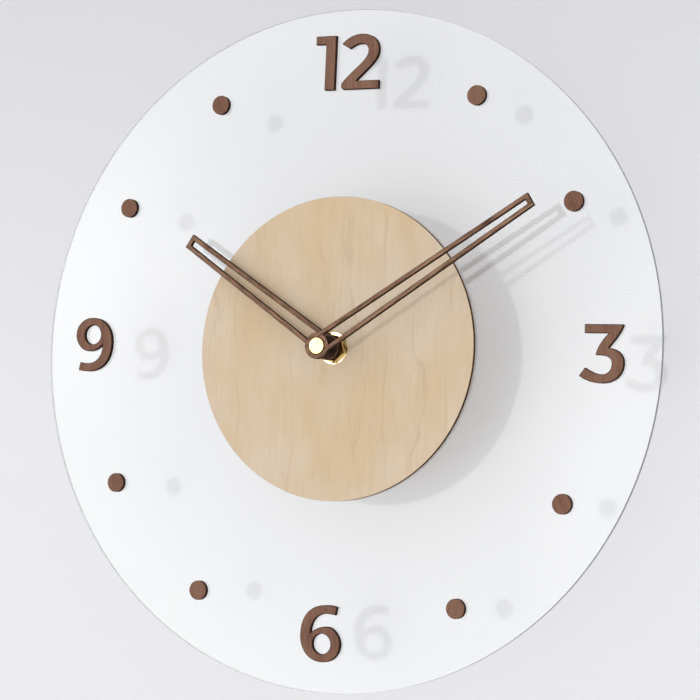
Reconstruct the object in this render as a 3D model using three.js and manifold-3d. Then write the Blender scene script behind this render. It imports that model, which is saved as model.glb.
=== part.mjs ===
// Wall clock with a clear acrylic dial, a maple centre disc, walnut numerals, dots and hands, and a
// quartz movement behind the dial.
// Millimetres, +Z up, the dial faces -Y. The origin is where the hand axis meets the flat back of
// the movement. A size called "forward" is the distance from that back plane towards the viewer.
import * as THREE from 'three';
import { mergeVertices } from 'three/addons/utils/BufferGeometryUtils.js';
import Module from 'manifold-3d';

const wasm = await Module();
wasm.setup();

const degrees = Math.PI / 180;
const fullTurn = 2 * Math.PI;
const hourAngle = 30;

// Facets
const dialSegments = 84;
const discSegments = 64;
const dotSegments = 16;
const roundSegments = 20;
const boreSegments = 16;
const pivotSegments = 8;
const curveSteps = 4;

// Joined solids overlap by this much, and a tool passes a face by this much
const overlap = 0.2;
const beyond = 1;

// Dial
const dialRadius = 150;
const dialThickness = 2;
const centreDiscRadius = 66.75;
const centreDiscThickness = 2;

// Hour marks glued to the dial
const markThickness = 2;
const dotRadius = 4.3;
const dotFromRim = 23.7;
const dotHours = [1, 2, 4, 5, 7, 8, 10, 11];
const numeral = {
  height: 24.2,
  overshoot: 0.3,
  stem: 5.2,
  oneStem: 4.9,
  bar: 3.75,
  crown: 4.4,
  oneWidth: 9.9,
  twoWidth: 18.3,
  threeWidth: 19.4,
  sixWidth: 19.65,
  counterRadius: 4.45,
  gapInTwelve: 3.4,
};
// How far the middle of each numeral is from the rim of the dial, and how far off its line it is
const numeralPlace = {
  twelve: { fromRim: 23.8, aside: 0.4 },
  three: { fromRim: 25.5, aside: -0.3 },
  six: { fromRim: 25.8, aside: -0.5 },
  nine: { fromRim: 25, aside: -0.1 },
};

// Hands: an open frame of two bars that close in towards a squared tip
const hourHand = {
  clockAngle: 303,
  length: 86.3,
  hubRadius: 5.7,
  rootHalfWidth: 4.68,
  tipHalfWidth: 3.35,
  barWidth: 2.15,
  tipBar: 2,
  thickness: 1.8,
  boreRadius: 3.9,
};
const minuteHand = {
  clockAngle: 57.25,
  length: 115.1,
  hubRadius: 5.7,
  rootHalfWidth: 4.6,
  tipHalfWidth: 3.05,
  barWidth: 1.95,
  tipBar: 2.2,
  thickness: 1.8,
  boreRadius: 3.75,
};
const hourHandLift = 6.5;
const minuteHandLift = 16.4;
const hourBushFlangeRadius = 5.1;
const hourBushFlange = 0.4;
const minuteBushBarrelRadius = 2.6;
const minuteBushBarrel = 3.2;
const capRadius = 3.5;
const capThickness = 0.9;
const capRecess = 0.5;
const capEdge = 0.25;

// Fastening of the dial
const rubberWasher = { radius: 10, thickness: 1 };
const brassWasher = { radius: 7, thickness: 0.6 };
const nut = { acrossFlats: 12, height: 3, chamfer: 0.9, beyondCorner: 0.1, turn: -17 * degrees };
const thread = { radius: 3.9, projection: 0.5 };
const threadFlange = { radius: 5.2 };
const hanger = {
  thickness: 1,
  footRadius: 9,
  neckHalfWidth: 6,
  earHalfWidth: 9,
  earBase: 30.5,
  earTop: 41.5,
  earCorner: 3,
  eyeHalfWidth: 4.6,
  eyeBottom: 32.5,
  eyeShoulder: 35.2,
  eyeTopRadius: 2.4,
  eyeTop: 39.2,
};

// Movement case
const caseHeight = 56;
const caseDepth = 16.5;
const caseCorner = 4;
const caseWall = 1.2;
const coverThickness = 1.2;
const coverGap = 0.2;
const postRadius = 2;
const platePostRadius = 1.6;
const bayWall = 0.8;
const thumbNotchRadius = 7;
const bossRadius = 1.4;
const bossHeight = 1.2;
const wallBoss = 0.2;
const pocketDepth = 0.7;
const lowerRightPostBesideBoard = 2.7;
const postAboveDivider = 1;
const strapSlot = { width: 2, play: 0.5 };

// Cell
const cell = { radius: 7.25, length: 50.5, nubRadius: 2.75, nubLength: 1.3, rim: 0.5 };
const cellClearance = 0.15;
const contactThickness = 0.4;
const contactWidth = 7;
const contactGap = 0.1;
const springSpace = 2.5;
const contactReach = 4;
const contactOnBoard = 1.5;
const contactBow = { depth: 0.9, above: 2, below: 1, foot: 0.5 };
// The case is as wide as the cell, its contacts and two walls
const caseWidth = cell.length + 2 * contactGap + contactThickness + springSpace + 2 * caseWall;

// Arbors, pivots and their fits
const runningFit = 0.08;
const slipFit = 0.05;
const endPlay = 0.2;
const minuteArborRadius = 1.5;
const minuteStubRadius = 1.1;
const hourTubeRadius = 2.55;
const wheelArborRadius = 0.6;
const pivotRadius = 0.4;
const pivotLength = 0.8;
const secondsPivotRadius = 0.35;
const collarRadius = 1.6;
const collarThickness = 0.3;
const centreHubRadius = 2.2;
const clutchThickness = 0.2;
const knobShaftRadius = 1.1;
const knobPivotRadius = 0.6;

// Wheels and pinions. Forward places run from the back of the movement to the front.
const wheelThickness = 0.8;
const pinionOverhang = 0.4;
const toothTip = 0.85;
const toothRoot = 1.25;
const wheelTooth = { root: 0.3 };
const pinionLeaf = { root: 0.24, tip: 0.1 };
const trainModule = 0.3;
const motionModule = 0.25;
const teeth = {
  rotor: 10,
  stepWheel: 50,
  stepPinion: 10,
  secondsWheel: 60,
  secondsPinion: 8,
  thirdWheel: 60,
  thirdPinion: 8,
  centreWheel: 64,
  cannon: 12,
  minuteWheel: 36,
  minutePinion: 10,
  hourWheel: 40,
  setting: 16,
};
const level = {
  stepWheel: 3,
  secondsWheel: 5,
  thirdWheel: 7,
  centreWheel: 9,
  plate: 10.8,
  minuteWheel: 12.3,
  hourWheel: 14,
};
const plateThickness = 1;
const plateAboveDivider = 1.2;
const plate = { left: -19.5, right: 14.5, top: 17.8, corner: 2, postInset: 2 };
const bearing = {
  third: 135 * degrees,
  step: 30 * degrees,
  rotorFromStep: 100 * degrees,
  minuteWheel: 210 * degrees,
  knobFromMinuteWheel: 188 * degrees,
};

// Motor and electronics
const magnet = { radius: 3, thickness: 2.6 };
const stator = { back: 5.6, thickness: 1, holeRadius: 3.6, poleRadius: 4.8, armWidth: 4.4 };
const coil = {
  radius: 3,
  barrel: 2,
  coreWidth: 2.6,
  coreThickness: 1,
  flange: 7.2,
  flangeThickness: 0.8,
};
const coilLength = 21;
const coilHeight = 22.8;
const coilCentreX = 0;
const corePad = 5;
const board = {
  left: 17.8,
  fromWall: 0.2,
  bottom: -5.8,
  top: 17.5,
  back: 2.4,
  thickness: 1,
  postInset: 2.5,
  postFromLeft: 4,
};
const crystal = { radius: 1, length: 6, gap: 0.05, aboveMiddle: 2.7 };
const chip = {
  radius: 2.4,
  shoulder: 1.9,
  crown: 1,
  height: 0.9,
  shoulderHeight: 0.6,
  belowMiddle: 4.3,
};

// Setting knob
const knob = {
  radius: 5.2,
  thickness: 1.5,
  recess: 0.4,
  ribs: 24,
  ribDepth: 0.35,
  ribRoot: 0.3,
  ribTip: 0.2,
  cupWall: 0.8,
};
const knobCupFloor = 1;
const knobGap = 0.5;

// Forward places that follow from the sizes above
const caseInside = caseDepth - caseWall;
const hangerBack = caseDepth;
const rubberBack = hangerBack + hanger.thickness;
const dialBack = rubberBack + rubberWasher.thickness;
const dialFront = dialBack + dialThickness;
const discFront = dialFront + centreDiscThickness;
const nutBack = discFront + brassWasher.thickness;
const nutFront = nutBack + nut.height;
const threadEnd = nutFront + thread.projection;
const hourHandBack = dialFront + hourHandLift;
const hourHandFront = hourHandBack + hourHand.thickness;
const minuteHandBack = dialFront + minuteHandLift;
const minuteHandFront = minuteHandBack + minuteHand.thickness;
const plateFront = level.plate + plateThickness;
const halfWidth = caseWidth / 2;
const halfHeight = caseHeight / 2;
const insideAcross = halfWidth - caseWall;
const insideUp = halfHeight - caseWall;
const cellForward = caseInside - cellClearance - cell.radius;
const cellHeight = -insideUp + cellClearance + cell.radius;
const bayTop = cellHeight + cell.radius + cellClearance;

// Axes of the wheels, as [x, z] from the hand axis
function offset([x, z], distance, angle) {
  return [x + distance * Math.cos(angle), z + distance * Math.sin(angle)];
}
function meshDistance(first, second, size) {
  return ((first + second) * size) / 2;
}
const thirdDistance = meshDistance(teeth.secondsPinion, teeth.thirdWheel, trainModule);
const centreModule = (2 * thirdDistance) / (teeth.thirdPinion + teeth.centreWheel);
const minuteDistance = meshDistance(teeth.cannon, teeth.minuteWheel, motionModule);
const hourModule = (2 * minuteDistance) / (teeth.minutePinion + teeth.hourWheel);
const axis = { hands: [0, 0] };
axis.third = offset(axis.hands, thirdDistance, bearing.third);
axis.step = offset(
  axis.hands,
  meshDistance(teeth.stepPinion, teeth.secondsWheel, trainModule),
  bearing.step,
);
axis.rotor = offset(
  axis.step,
  meshDistance(teeth.rotor, teeth.stepWheel, trainModule),
  bearing.rotorFromStep,
);
axis.minuteWheel = offset(axis.hands, minuteDistance, bearing.minuteWheel);
axis.knob = offset(
  axis.minuteWheel,
  meshDistance(teeth.minuteWheel, teeth.setting, motionModule),
  bearing.knobFromMinuteWheel,
);

// Solids: geometry in, geometry out
function toSolid(geometry) {
  const bare = geometry.clone();
  for (const name of Object.keys(bare.attributes)) {
    if (name !== 'position') bare.deleteAttribute(name);
  }
  const merged = mergeVertices(bare, 1e-5);
  const mesh = new wasm.Mesh({
    numProp: 3,
    vertProperties: Float32Array.from(merged.attributes.position.array),
    triVerts: Uint32Array.from(merged.index.array),
  });
  return new wasm.Manifold(mesh);
}
function toGeometry(solid) {
  const mesh = solid.getMesh();
  const geometry = new THREE.BufferGeometry();
  geometry.setAttribute('position', new THREE.BufferAttribute(mesh.vertProperties, 3));
  geometry.setIndex(new THREE.BufferAttribute(mesh.triVerts, 1));
  geometry.computeVertexNormals();
  return geometry;
}
function join(...geometries) {
  const solids = geometries.map(toSolid);
  return toGeometry(solids.slice(1).reduce((sum, next) => sum.add(next), solids[0]));
}
function cut(geometry, ...tools) {
  return toGeometry(tools.reduce((rest, tool) => rest.subtract(toSolid(tool)), toSolid(geometry)));
}
function common(geometry, other) {
  return toGeometry(toSolid(geometry).intersect(toSolid(other)));
}

// A flat outline, drawn as the viewer sees it, made solid between two forward places
function slab(shape, back, front) {
  const options = { depth: front - back, bevelEnabled: false, curveSegments: curveSteps };
  return new THREE.ExtrudeGeometry(shape, options).rotateX(Math.PI / 2).translate(0, -back, 0);
}
// A profile of [radius, forward] corners, turned about an axis parallel to the hand axis. It starts
// and ends on the axis, or else it is closed here.
function turned(profile, [x, z], segments) {
  const points = profile.map(([radius, forward]) => new THREE.Vector2(radius, -forward));
  if (THREE.ShapeUtils.area(points) < 0) points.reverse();
  if (points[0].x > 0) points.push(points[0].clone());
  return new THREE.LatheGeometry(points, segments).translate(x, 0, z);
}
function rod(place, radius, back, front, segments) {
  return turned([[0, back], [radius, back], [radius, front], [0, front]], place, segments);
}
// A hole tool whose flats, not its corners, lie at the radius
function drill(place, radius, back, front, segments = boreSegments) {
  return rod(place, radius / Math.cos(Math.PI / segments), back, front, segments);
}
function block(left, right, bottom, top, back, front) {
  return new THREE.BoxGeometry(right - left, front - back, top - bottom).translate(
    (left + right) / 2,
    -(back + front) / 2,
    (bottom + top) / 2,
  );
}
function ring([x, z], inner, outer, back, front, segments) {
  return turned([[inner, back], [outer, back], [outer, front], [inner, front]], [x, z], segments);
}
function roundedRectangle(left, right, bottom, top, corner) {
  const shape = new THREE.Shape();
  shape.moveTo(left + corner, bottom);
  shape.lineTo(right - corner, bottom);
  shape.absarc(right - corner, bottom + corner, corner, -Math.PI / 2, 0);
  shape.lineTo(right, top - corner);
  shape.absarc(right - corner, top - corner, corner, 0, Math.PI / 2);
  shape.lineTo(left + corner, top);
  shape.absarc(left + corner, top - corner, corner, Math.PI / 2, Math.PI);
  shape.lineTo(left, bottom + corner);
  shape.absarc(left + corner, bottom + corner, corner, Math.PI, 1.5 * Math.PI);
  return shape;
}
function polygon(points) {
  return new THREE.Shape(points.map(([x, z]) => new THREE.Vector2(x, z)));
}

// The finished clock is a group of named pieces
const clock = new THREE.Group();
function finish(colour, roughness, metalness = 0, opacity = 1) {
  return () =>
    new THREE.MeshStandardMaterial({
      color: colour,
      roughness,
      metalness,
      opacity,
      transparent: opacity < 1,
    });
}
const acrylic = finish('#f2f7f7', 0.05, 0, 0.2);
const maple = finish('#d9c3a2', 0.45);
const walnut = finish('#84604f', 0.55);
const brass = finish('#d8b45a', 0.25, 1);
const steel = finish('#b9bcc0', 0.3, 1);
const iron = finish('#7d8084', 0.4, 1);
const blackPlastic = finish('#1d1e20', 0.5);
const whitePlastic = finish('#e6e4de', 0.5);
const rubber = finish('#2a2a2b', 0.9);
const copper = finish('#b8703a', 0.35, 1);
const laminate = finish('#5c7a3f', 0.6);
const resin = finish('#151515', 0.35);
const cellWrap = finish('#3d4a52', 0.35, 0.3);
const ferrite = finish('#4a4a4d', 0.5, 0.4);

function piece(name, geometry, material) {
  const mesh = new THREE.Mesh(geometry, material());
  mesh.name = name;
  clock.add(mesh);
  return mesh;
}

// Dial and centre disc
function makeDial() {
  const bore = thread.radius + slipFit;
  piece(
    'dial_disc',
    ring(axis.hands, bore, dialRadius, dialBack, dialFront, dialSegments),
    acrylic,
  );
  piece(
    'centre_disc',
    ring(axis.hands, bore, centreDiscRadius, dialFront, discFront, discSegments),
    maple,
  );
}

// Numerals, each drawn with its base line on z = 0 and its left edge on x = 0
function digitOne() {
  const { height, oneWidth, oneStem, bar } = numeral;
  return polygon([
    [0, height],
    [0, height - bar],
    [oneWidth - oneStem, height - bar],
    [oneWidth - oneStem, 0],
    [oneWidth, 0],
    [oneWidth, height],
  ]);
}
function digitTwo() {
  const { height, overshoot, twoWidth, stem, bar, crown } = numeral;
  const top = height + overshoot;
  const right = twoWidth - 0.4;
  const inner = right - stem;
  const under = top - crown;
  const waist = height * 0.71;
  const cornerCut = 0.8;
  const shape = new THREE.Shape();
  shape.moveTo(-0.4, height - 3.9);
  shape.bezierCurveTo(2.2, top - 1.5, 5.6, top, right / 2 + 0.3, top);
  shape.bezierCurveTo(right - 3.5, top, right, top - 3, right, waist);
  shape.bezierCurveTo(right, waist - 4.8, right - 4.4, bar + 6.1, 7.2, bar);
  shape.lineTo(twoWidth, bar);
  shape.lineTo(twoWidth, 0);
  shape.lineTo(cornerCut, 0);
  shape.lineTo(0, cornerCut);
  shape.lineTo(0, 2.7);
  shape.bezierCurveTo(3, 6.2, inner - 6, 9, inner - 3, 11.8);
  shape.bezierCurveTo(inner - 1, waist - 3.5, inner, waist - 2, inner, waist);
  shape.bezierCurveTo(inner, under - 1.2, inner - 1.4, under, inner - 3.6, under);
  shape.bezierCurveTo(inner - 5.6, under, 5.2, under - 0.9, 3.5, under - 2.1);
  shape.closePath();
  return shape;
}
function digitThree() {
  const { height, overshoot, threeWidth, stem, bar } = numeral;
  const right = threeWidth;
  const inner = right - stem;
  const low = -overshoot;
  const lip = low + bar;
  const bowl = height * 0.33;
  const notch = [12.6, height * 0.6];
  const throat = [12.3, height - bar];
  const knee = [7, height * 0.47];
  const barLeft = 1.8;
  const shape = new THREE.Shape();
  shape.moveTo(barLeft, height);
  shape.lineTo(right - 0.65, height);
  shape.bezierCurveTo(right - 1.1, height - 2, right - 2.2, height - 4.2, ...notch);
  shape.bezierCurveTo(right - 2.4, notch[1] - 0.6, right, bowl + 3.6, right, bowl);
  shape.bezierCurveTo(right, bowl - 5, right - 4, low, right / 2, low);
  shape.bezierCurveTo(6.2, low, 2.8, low + 1, 0, low + 2.9);
  shape.lineTo(2.45, lip + 2.65);
  shape.bezierCurveTo(4.9, lip + 1.15, 7.2, lip, 10, lip);
  shape.bezierCurveTo(inner - 1.5, lip, inner, bowl - 2.6, inner, bowl - 0.1);
  shape.bezierCurveTo(inner, bowl + 2.3, inner - 1.9, knee[1], ...knee);
  shape.bezierCurveTo(knee[0] + 0.6, knee[1] + 3, 9, throat[1] - 3.6, ...throat);
  shape.lineTo(barLeft, height - bar);
  shape.closePath();
  return shape;
}
function digitSix() {
  const { height, overshoot, sixWidth, stem, bar, counterRadius } = numeral;
  const top = height + overshoot;
  const low = -overshoot;
  const under = top - bar;
  const inner = stem - 0.3;
  const right = sixWidth;
  const middle = right * 0.555;
  const bowlTop = height * 0.628;
  const bowl = height * 0.325;
  const joint = [inner, bowlTop - 3.3];
  const shape = new THREE.Shape();
  shape.moveTo(right - 2.2, top - 0.6);
  shape.bezierCurveTo(right - 3.9, top - 0.1, right - 5.4, top, right - 6.9, top);
  shape.bezierCurveTo(4.8, top, 0, top - 4.9, 0, height * 0.467);
  shape.bezierCurveTo(0, 4.4, 4.4, low, middle, low);
  shape.bezierCurveTo(right - 3.7, low, right, 3.1, right, bowl);
  shape.bezierCurveTo(right - 0.2, bowl + 3.4, right - 3.2, bowlTop, right - 7.1, bowlTop);
  shape.bezierCurveTo(9.6, bowlTop, 6.9, bowlTop - 1.3, ...joint);
  shape.bezierCurveTo(inner, joint[1] + 5.1, 7.6, under, right - 6.9, under);
  shape.bezierCurveTo(right - 5.4, under, right - 4.1, under - 0.1, right - 2.9, under - 0.4);
  shape.closePath();
  const counter = new THREE.Path();
  counter.absarc(right * 0.537, bowl - 0.3, counterRadius, 0, fullTurn, true);
  shape.holes.push(counter);
  return shape;
}
function mark(shape) {
  return slab(shape, dialFront, dialFront + markThickness);
}
function makeNumerals() {
  const { height, oneWidth, twoWidth, threeWidth, sixWidth, gapInTwelve } = numeral;
  const twelveWidth = oneWidth + gapInTwelve + twoWidth;
  const { twelve, three, six, nine } = numeralPlace;
  const fromCentre = (place) => dialRadius - place.fromRim;
  const left = twelve.aside - twelveWidth / 2;
  const base = fromCentre(twelve) - height / 2;
  piece('numeral_12_one', mark(digitOne()).translate(left, 0, base), walnut);
  piece(
    'numeral_12_two',
    mark(digitTwo()).translate(left + oneWidth + gapInTwelve, 0, base),
    walnut,
  );
  const centred = (shape, width) => mark(shape).translate(-width / 2, 0, -height / 2);
  piece(
    'numeral_3',
    centred(digitThree(), threeWidth).translate(fromCentre(three), 0, three.aside),
    walnut,
  );
  piece(
    'numeral_6',
    centred(digitSix(), sixWidth).translate(six.aside, 0, -fromCentre(six)),
    walnut,
  );
  const turnedSix = centred(digitSix(), sixWidth).rotateY(Math.PI);
  piece('numeral_9', turnedSix.translate(-fromCentre(nine), 0, nine.aside), walnut);
}
function clockPoint(radius, clockAngle) {
  return offset([0, 0], radius, (90 - clockAngle) * degrees);
}
function makeDots() {
  for (const hour of dotHours) {
    const place = clockPoint(dialRadius - dotFromRim, hour * hourAngle);
    const name = `dot_${String(hour).padStart(2, '0')}`;
    piece(name, rod(place, dotRadius, dialFront, dialFront + markThickness, dotSegments), walnut);
  }
}

// Hands, drawn pointing to 12 and then turned to the time
function handFrame(hand, back) {
  const front = back + hand.thickness;
  const halfWidth = (radius) =>
    hand.rootHalfWidth + ((hand.tipHalfWidth - hand.rootHalfWidth) * radius) / hand.length;
  const slotStart = hand.hubRadius - beyond;
  const slotEnd = hand.length - hand.tipBar;
  const frame = polygon([
    [-halfWidth(0), 0],
    [halfWidth(0), 0],
    [halfWidth(hand.length), hand.length],
    [-halfWidth(hand.length), hand.length],
  ]);
  const slot = polygon([
    [-halfWidth(slotStart) + hand.barWidth, slotStart],
    [halfWidth(slotStart) - hand.barWidth, slotStart],
    [halfWidth(slotEnd) - hand.barWidth, slotEnd],
    [-halfWidth(slotEnd) + hand.barWidth, slotEnd],
  ]);
  const open = cut(slab(frame, back, front), slab(slot, back - beyond, front + beyond));
  const hub = rod([0, 0], hand.hubRadius, back, front, roundSegments);
  const whole = join(open, hub);
  return cut(whole, drill([0, 0], hand.boreRadius, back - beyond, front + beyond, roundSegments));
}
function turnToTime(geometry, hand) {
  return geometry.rotateY(hand.clockAngle * degrees);
}
function makeHands() {
  piece('hour_hand', turnToTime(handFrame(hourHand, hourHandBack), hourHand), walnut);
  piece('minute_hand', turnToTime(handFrame(minuteHand, minuteHandBack), minuteHand), walnut);
  const hourBore = hourTubeRadius + slipFit;
  const hourBarrel = hourHand.boreRadius - slipFit;
  piece(
    'hour_hand_bush',
    turned(
      [
        [hourBore, hourHandBack],
        [hourBarrel, hourHandBack],
        [hourBarrel, hourHandFront],
        [hourBushFlangeRadius, hourHandFront],
        [hourBushFlangeRadius, hourHandFront + hourBushFlange],
        [hourBore, hourHandFront + hourBushFlange],
      ],
      axis.hands,
      roundSegments,
    ),
    blackPlastic,
  );
  const bushBore = minuteArborRadius + slipFit;
  const bushHead = minuteHand.boreRadius - slipFit;
  const headFront = minuteHandFront - capRecess;
  piece(
    'minute_hand_bush',
    turned(
      [
        [bushBore, minuteHandBack - minuteBushBarrel],
        [minuteBushBarrelRadius, minuteHandBack - minuteBushBarrel],
        [minuteBushBarrelRadius, minuteHandBack],
        [bushHead, minuteHandBack],
        [bushHead, headFront],
        [bushBore, headFront],
      ],
      axis.hands,
      roundSegments,
    ),
    brass,
  );
  const capFront = headFront + capThickness;
  piece(
    'hand_cap',
    turned(
      [
        [0, headFront],
        [capRadius, headFront],
        [capRadius, capFront - capEdge],
        [capRadius - capEdge, capFront],
        [0, capFront],
      ],
      axis.hands,
      roundSegments,
    ),
    brass,
  );
}

// Nut, washers and threaded sleeve
function makeFastening() {
  const bore = thread.radius + slipFit;
  const sleeveBore = (hourTubeRadius + runningFit) / Math.cos(Math.PI / roundSegments);
  const corner = nut.acrossFlats / 2 / Math.cos(30 * degrees);
  const hexagon = polygon(
    Array.from({ length: 6 }, (_, i) => offset([0, 0], corner, nut.turn + (i * fullTurn) / 6)),
  );
  const chamferCone = rodWithChamfer(corner + nut.beyondCorner, nutBack, nutFront, nut.chamfer);
  const body = common(slab(hexagon, nutBack, nutFront), chamferCone);
  piece('hex_nut', cut(body, drill(axis.hands, bore, nutBack - beyond, nutFront + beyond)), brass);
  piece(
    'brass_washer',
    ring(axis.hands, bore, brassWasher.radius, discFront, nutBack, roundSegments),
    brass,
  );
  piece(
    'rubber_washer',
    ring(axis.hands, bore, rubberWasher.radius, rubberBack, dialBack, roundSegments),
    rubber,
  );
  piece(
    'threaded_sleeve',
    turned(
      [
        [sleeveBore, caseInside],
        [threadFlange.radius, caseInside],
        [threadFlange.radius, caseDepth],
        [thread.radius, caseDepth],
        [thread.radius, threadEnd],
        [sleeveBore, threadEnd],
      ],
      axis.hands,
      roundSegments,
    ),
    brass,
  );
}
function rodWithChamfer(radius, back, front, chamfer) {
  return turned(
    [[0, back], [radius, back], [radius, front - chamfer / 2], [radius - chamfer, front], [0, front]],
    axis.hands,
    roundSegments,
  );
}

// Hanger: a stamped steel plate clamped between the case and the rubber washer
function makeHanger() {
  const { footRadius, neckHalfWidth, earHalfWidth, earBase, earTop, earCorner } = hanger;
  const foot = rod(axis.hands, footRadius, hangerBack, rubberBack, roundSegments);
  const neck = block(-neckHalfWidth, neckHalfWidth, 0, earBase + beyond, hangerBack, rubberBack);
  const ear = roundedRectangle(-earHalfWidth, earHalfWidth, earBase, earTop, earCorner);
  const { eyeHalfWidth, eyeBottom, eyeShoulder, eyeTop, eyeTopRadius } = hanger;
  const eye = new THREE.Shape();
  eye.moveTo(-eyeHalfWidth, eyeBottom);
  eye.lineTo(eyeHalfWidth, eyeBottom);
  eye.lineTo(eyeHalfWidth, eyeShoulder);
  eye.lineTo(eyeTopRadius, eyeTop - eyeTopRadius);
  eye.absarc(0, eyeTop - eyeTopRadius, eyeTopRadius, 0, Math.PI);
  eye.lineTo(-eyeHalfWidth, eyeShoulder);
  eye.closePath();
  const whole = join(foot, neck, slab(ear, hangerBack, rubberBack));
  const bore = drill(axis.hands, thread.radius + slipFit, hangerBack - beyond, rubberBack + beyond);
  piece('hanger_plate', cut(whole, slab(eye, hangerBack - beyond, rubberBack + beyond), bore), steel);
}

// Movement case, back cover and the plate that carries the train
const outerPost = insideAcross - postRadius + overlap;
const upperPostHeight = insideUp - postRadius + overlap;
const lowerPostHeight = bayTop + bayWall + postRadius + postAboveDivider;
const postPlaces = [
  [-outerPost, upperPostHeight],
  [outerPost, upperPostHeight],
  [-outerPost, lowerPostHeight],
  [board.left + lowerRightPostBesideBoard, lowerPostHeight],
];
const plateBottom = bayTop + bayWall + plateAboveDivider;
const platePostPlaces = [
  [plate.left + plate.postInset, plateBottom + plate.postInset],
  [plate.left + plate.postInset, plate.top - plate.postInset],
  [plate.right - plate.postInset, plateBottom + plate.postInset],
  [plate.right - plate.postInset, plate.top - plate.postInset],
];
const corePadPlaces = [-1, 1].map((side) => [side * (coilLength / 2 + corePad / 2), coilHeight]);
const boardFront = board.back + board.thickness;
const boardRight = insideAcross - board.fromWall;
const boardPostPlaces = [board.bottom + board.postInset, board.top - board.postInset].map(
  (height) => [board.left + board.postFromLeft, height],
);
const statorFront = stator.back + stator.thickness;
const coreFront = statorFront + coil.coreThickness;
const wallShoulder = caseInside - wallBoss;
const contactBand = { back: boardFront + contactGap, front: cellForward + contactWidth / 2 };

function caseMouldings() {
  const toWall = caseInside + overlap;
  const post = (place, radius, back) => rod(place, radius, back, toWall, pivotSegments);
  const boss = (place) => post(place, bossRadius, wallShoulder);
  const inner = insideAcross + overlap;
  return [
    ...postPlaces.map((place) => post(place, postRadius, coverThickness)),
    ...platePostPlaces.map((place) => post(place, platePostRadius, plateFront)),
    ...corePadPlaces.map((place) => post(place, platePostRadius, coreFront)),
    ...boardPostPlaces.map((place) => post(place, platePostRadius, boardFront)),
    boss(axis.minuteWheel),
    boss(axis.knob),
    block(-inner, inner, bayTop, bayTop + bayWall, coverThickness, toWall),
  ];
}
function makeCase() {
  const outline = roundedRectangle(-halfWidth, halfWidth, -halfHeight, halfHeight, caseCorner);
  const innerCorner = caseCorner - caseWall;
  const inside = roundedRectangle(-insideAcross, insideAcross, -insideUp, insideUp, innerCorner);
  const shell = cut(slab(outline, 0, caseDepth), slab(inside, -beyond, caseInside));
  const pocket = (place, radius) =>
    drill(place, radius + runningFit, caseInside - beyond, caseInside + pocketDepth, pivotSegments);
  const slotFront = contactBand.front + strapSlot.play;
  const slot = (side) => {
    const wall = side * insideAcross;
    const edges = [wall, wall - side * strapSlot.width].sort((a, b) => a - b);
    return block(...edges, bayTop - beyond, bayTop + bayWall + beyond, 0, slotFront);
  };
  const sleeveHole = drill(
    axis.hands,
    threadFlange.radius + slipFit,
    caseInside - beyond,
    caseDepth + beyond,
    roundSegments,
  );
  const notch = rod([0, 0], thumbNotchRadius, -beyond, caseWall + beyond, roundSegments);
  notch.rotateX(Math.PI / 2).translate(0, 0, -halfHeight);
  piece(
    'movement_case',
    cut(
      join(shell, ...caseMouldings()),
      sleeveHole,
      pocket(axis.minuteWheel, pivotRadius),
      pocket(axis.knob, knobPivotRadius),
      slot(-1),
      slot(1),
      notch,
    ),
    blackPlastic,
  );
}
function makeCover() {
  const side = insideAcross - coverGap;
  const corner = caseCorner - caseWall;
  const outline = roundedRectangle(-side, side, bayTop + coverGap, insideUp - coverGap, corner);
  const cupRadius = knob.radius + knobGap;
  const cupFloor = knob.recess + knob.thickness + endPlay;
  const cupFront = cupFloor + knobCupFloor;
  const inLid = coverThickness / 2;
  const cup = rod(axis.knob, cupRadius + knob.cupWall, inLid, cupFront, roundSegments);
  const borne = [axis.third, axis.step, axis.rotor, axis.hands];
  const bossFront = coverThickness + bossHeight;
  const bosses = borne.map((place) => rod(place, bossRadius, inLid, bossFront, pivotSegments));
  const bores = borne.map((place) =>
    drill(place, pivotRadius + runningFit, coverThickness, bossFront + beyond, pivotSegments),
  );
  const pocket = rod(axis.knob, cupRadius, -beyond, cupFloor, roundSegments);
  const shaftHole = drill(axis.knob, knobShaftRadius + runningFit, -beyond, cupFront + beyond);
  piece(
    'movement_cover',
    cut(join(slab(outline, 0, coverThickness), cup, ...bosses), ...bores, pocket, shaftHole),
    blackPlastic,
  );
}
function makePlate() {
  const outline = roundedRectangle(plate.left, plate.right, plateBottom, plate.top, plate.corner);
  const back = level.plate - beyond;
  const front = plateFront + beyond;
  const pivots = [axis.third, axis.step, axis.rotor, axis.minuteWheel].map((place) =>
    drill(place, pivotRadius + runningFit, back, front, pivotSegments),
  );
  const arborHole = drill(axis.hands, minuteArborRadius + runningFit, back, front);
  const settingTip = (teeth.setting / 2 + toothTip) * motionModule;
  const knobHole = drill(axis.knob, settingTip + endPlay, back, front);
  piece(
    'train_plate',
    cut(slab(outline, level.plate, plateFront), ...pivots, arborHole, knobHole),
    whitePlastic,
  );
}

// A toothed outline. Each tooth is a list of [radius, place as a share of the pitch] corners.
function toothedShape(count, tooth, phase) {
  const pitch = fullTurn / count;
  const corners = Array.from({ length: count }, (_, i) =>
    tooth.map(([radius, share]) => offset([0, 0], radius, phase + (i + share) * pitch)),
  );
  return polygon(corners.flat());
}
// Wheels have pointed teeth and pinions have leaves with narrow flat tips
function wheelShape(count, size, phase) {
  const root = (count / 2 - toothRoot) * size;
  const tip = (count / 2 + toothTip) * size;
  return toothedShape(count, [[root, -wheelTooth.root], [tip, 0], [root, wheelTooth.root]], phase);
}
function flatTopped(root, rootShare, tip, tipShare) {
  return [[root, -rootShare], [tip, -tipShare], [tip, tipShare], [root, rootShare]];
}
function pinionShape(count, size, phase) {
  const root = (count / 2 - toothRoot) * size;
  const tip = (count / 2 + toothTip) * size;
  return toothedShape(count, flatTopped(root, pinionLeaf.root, tip, pinionLeaf.tip), phase);
}

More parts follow.
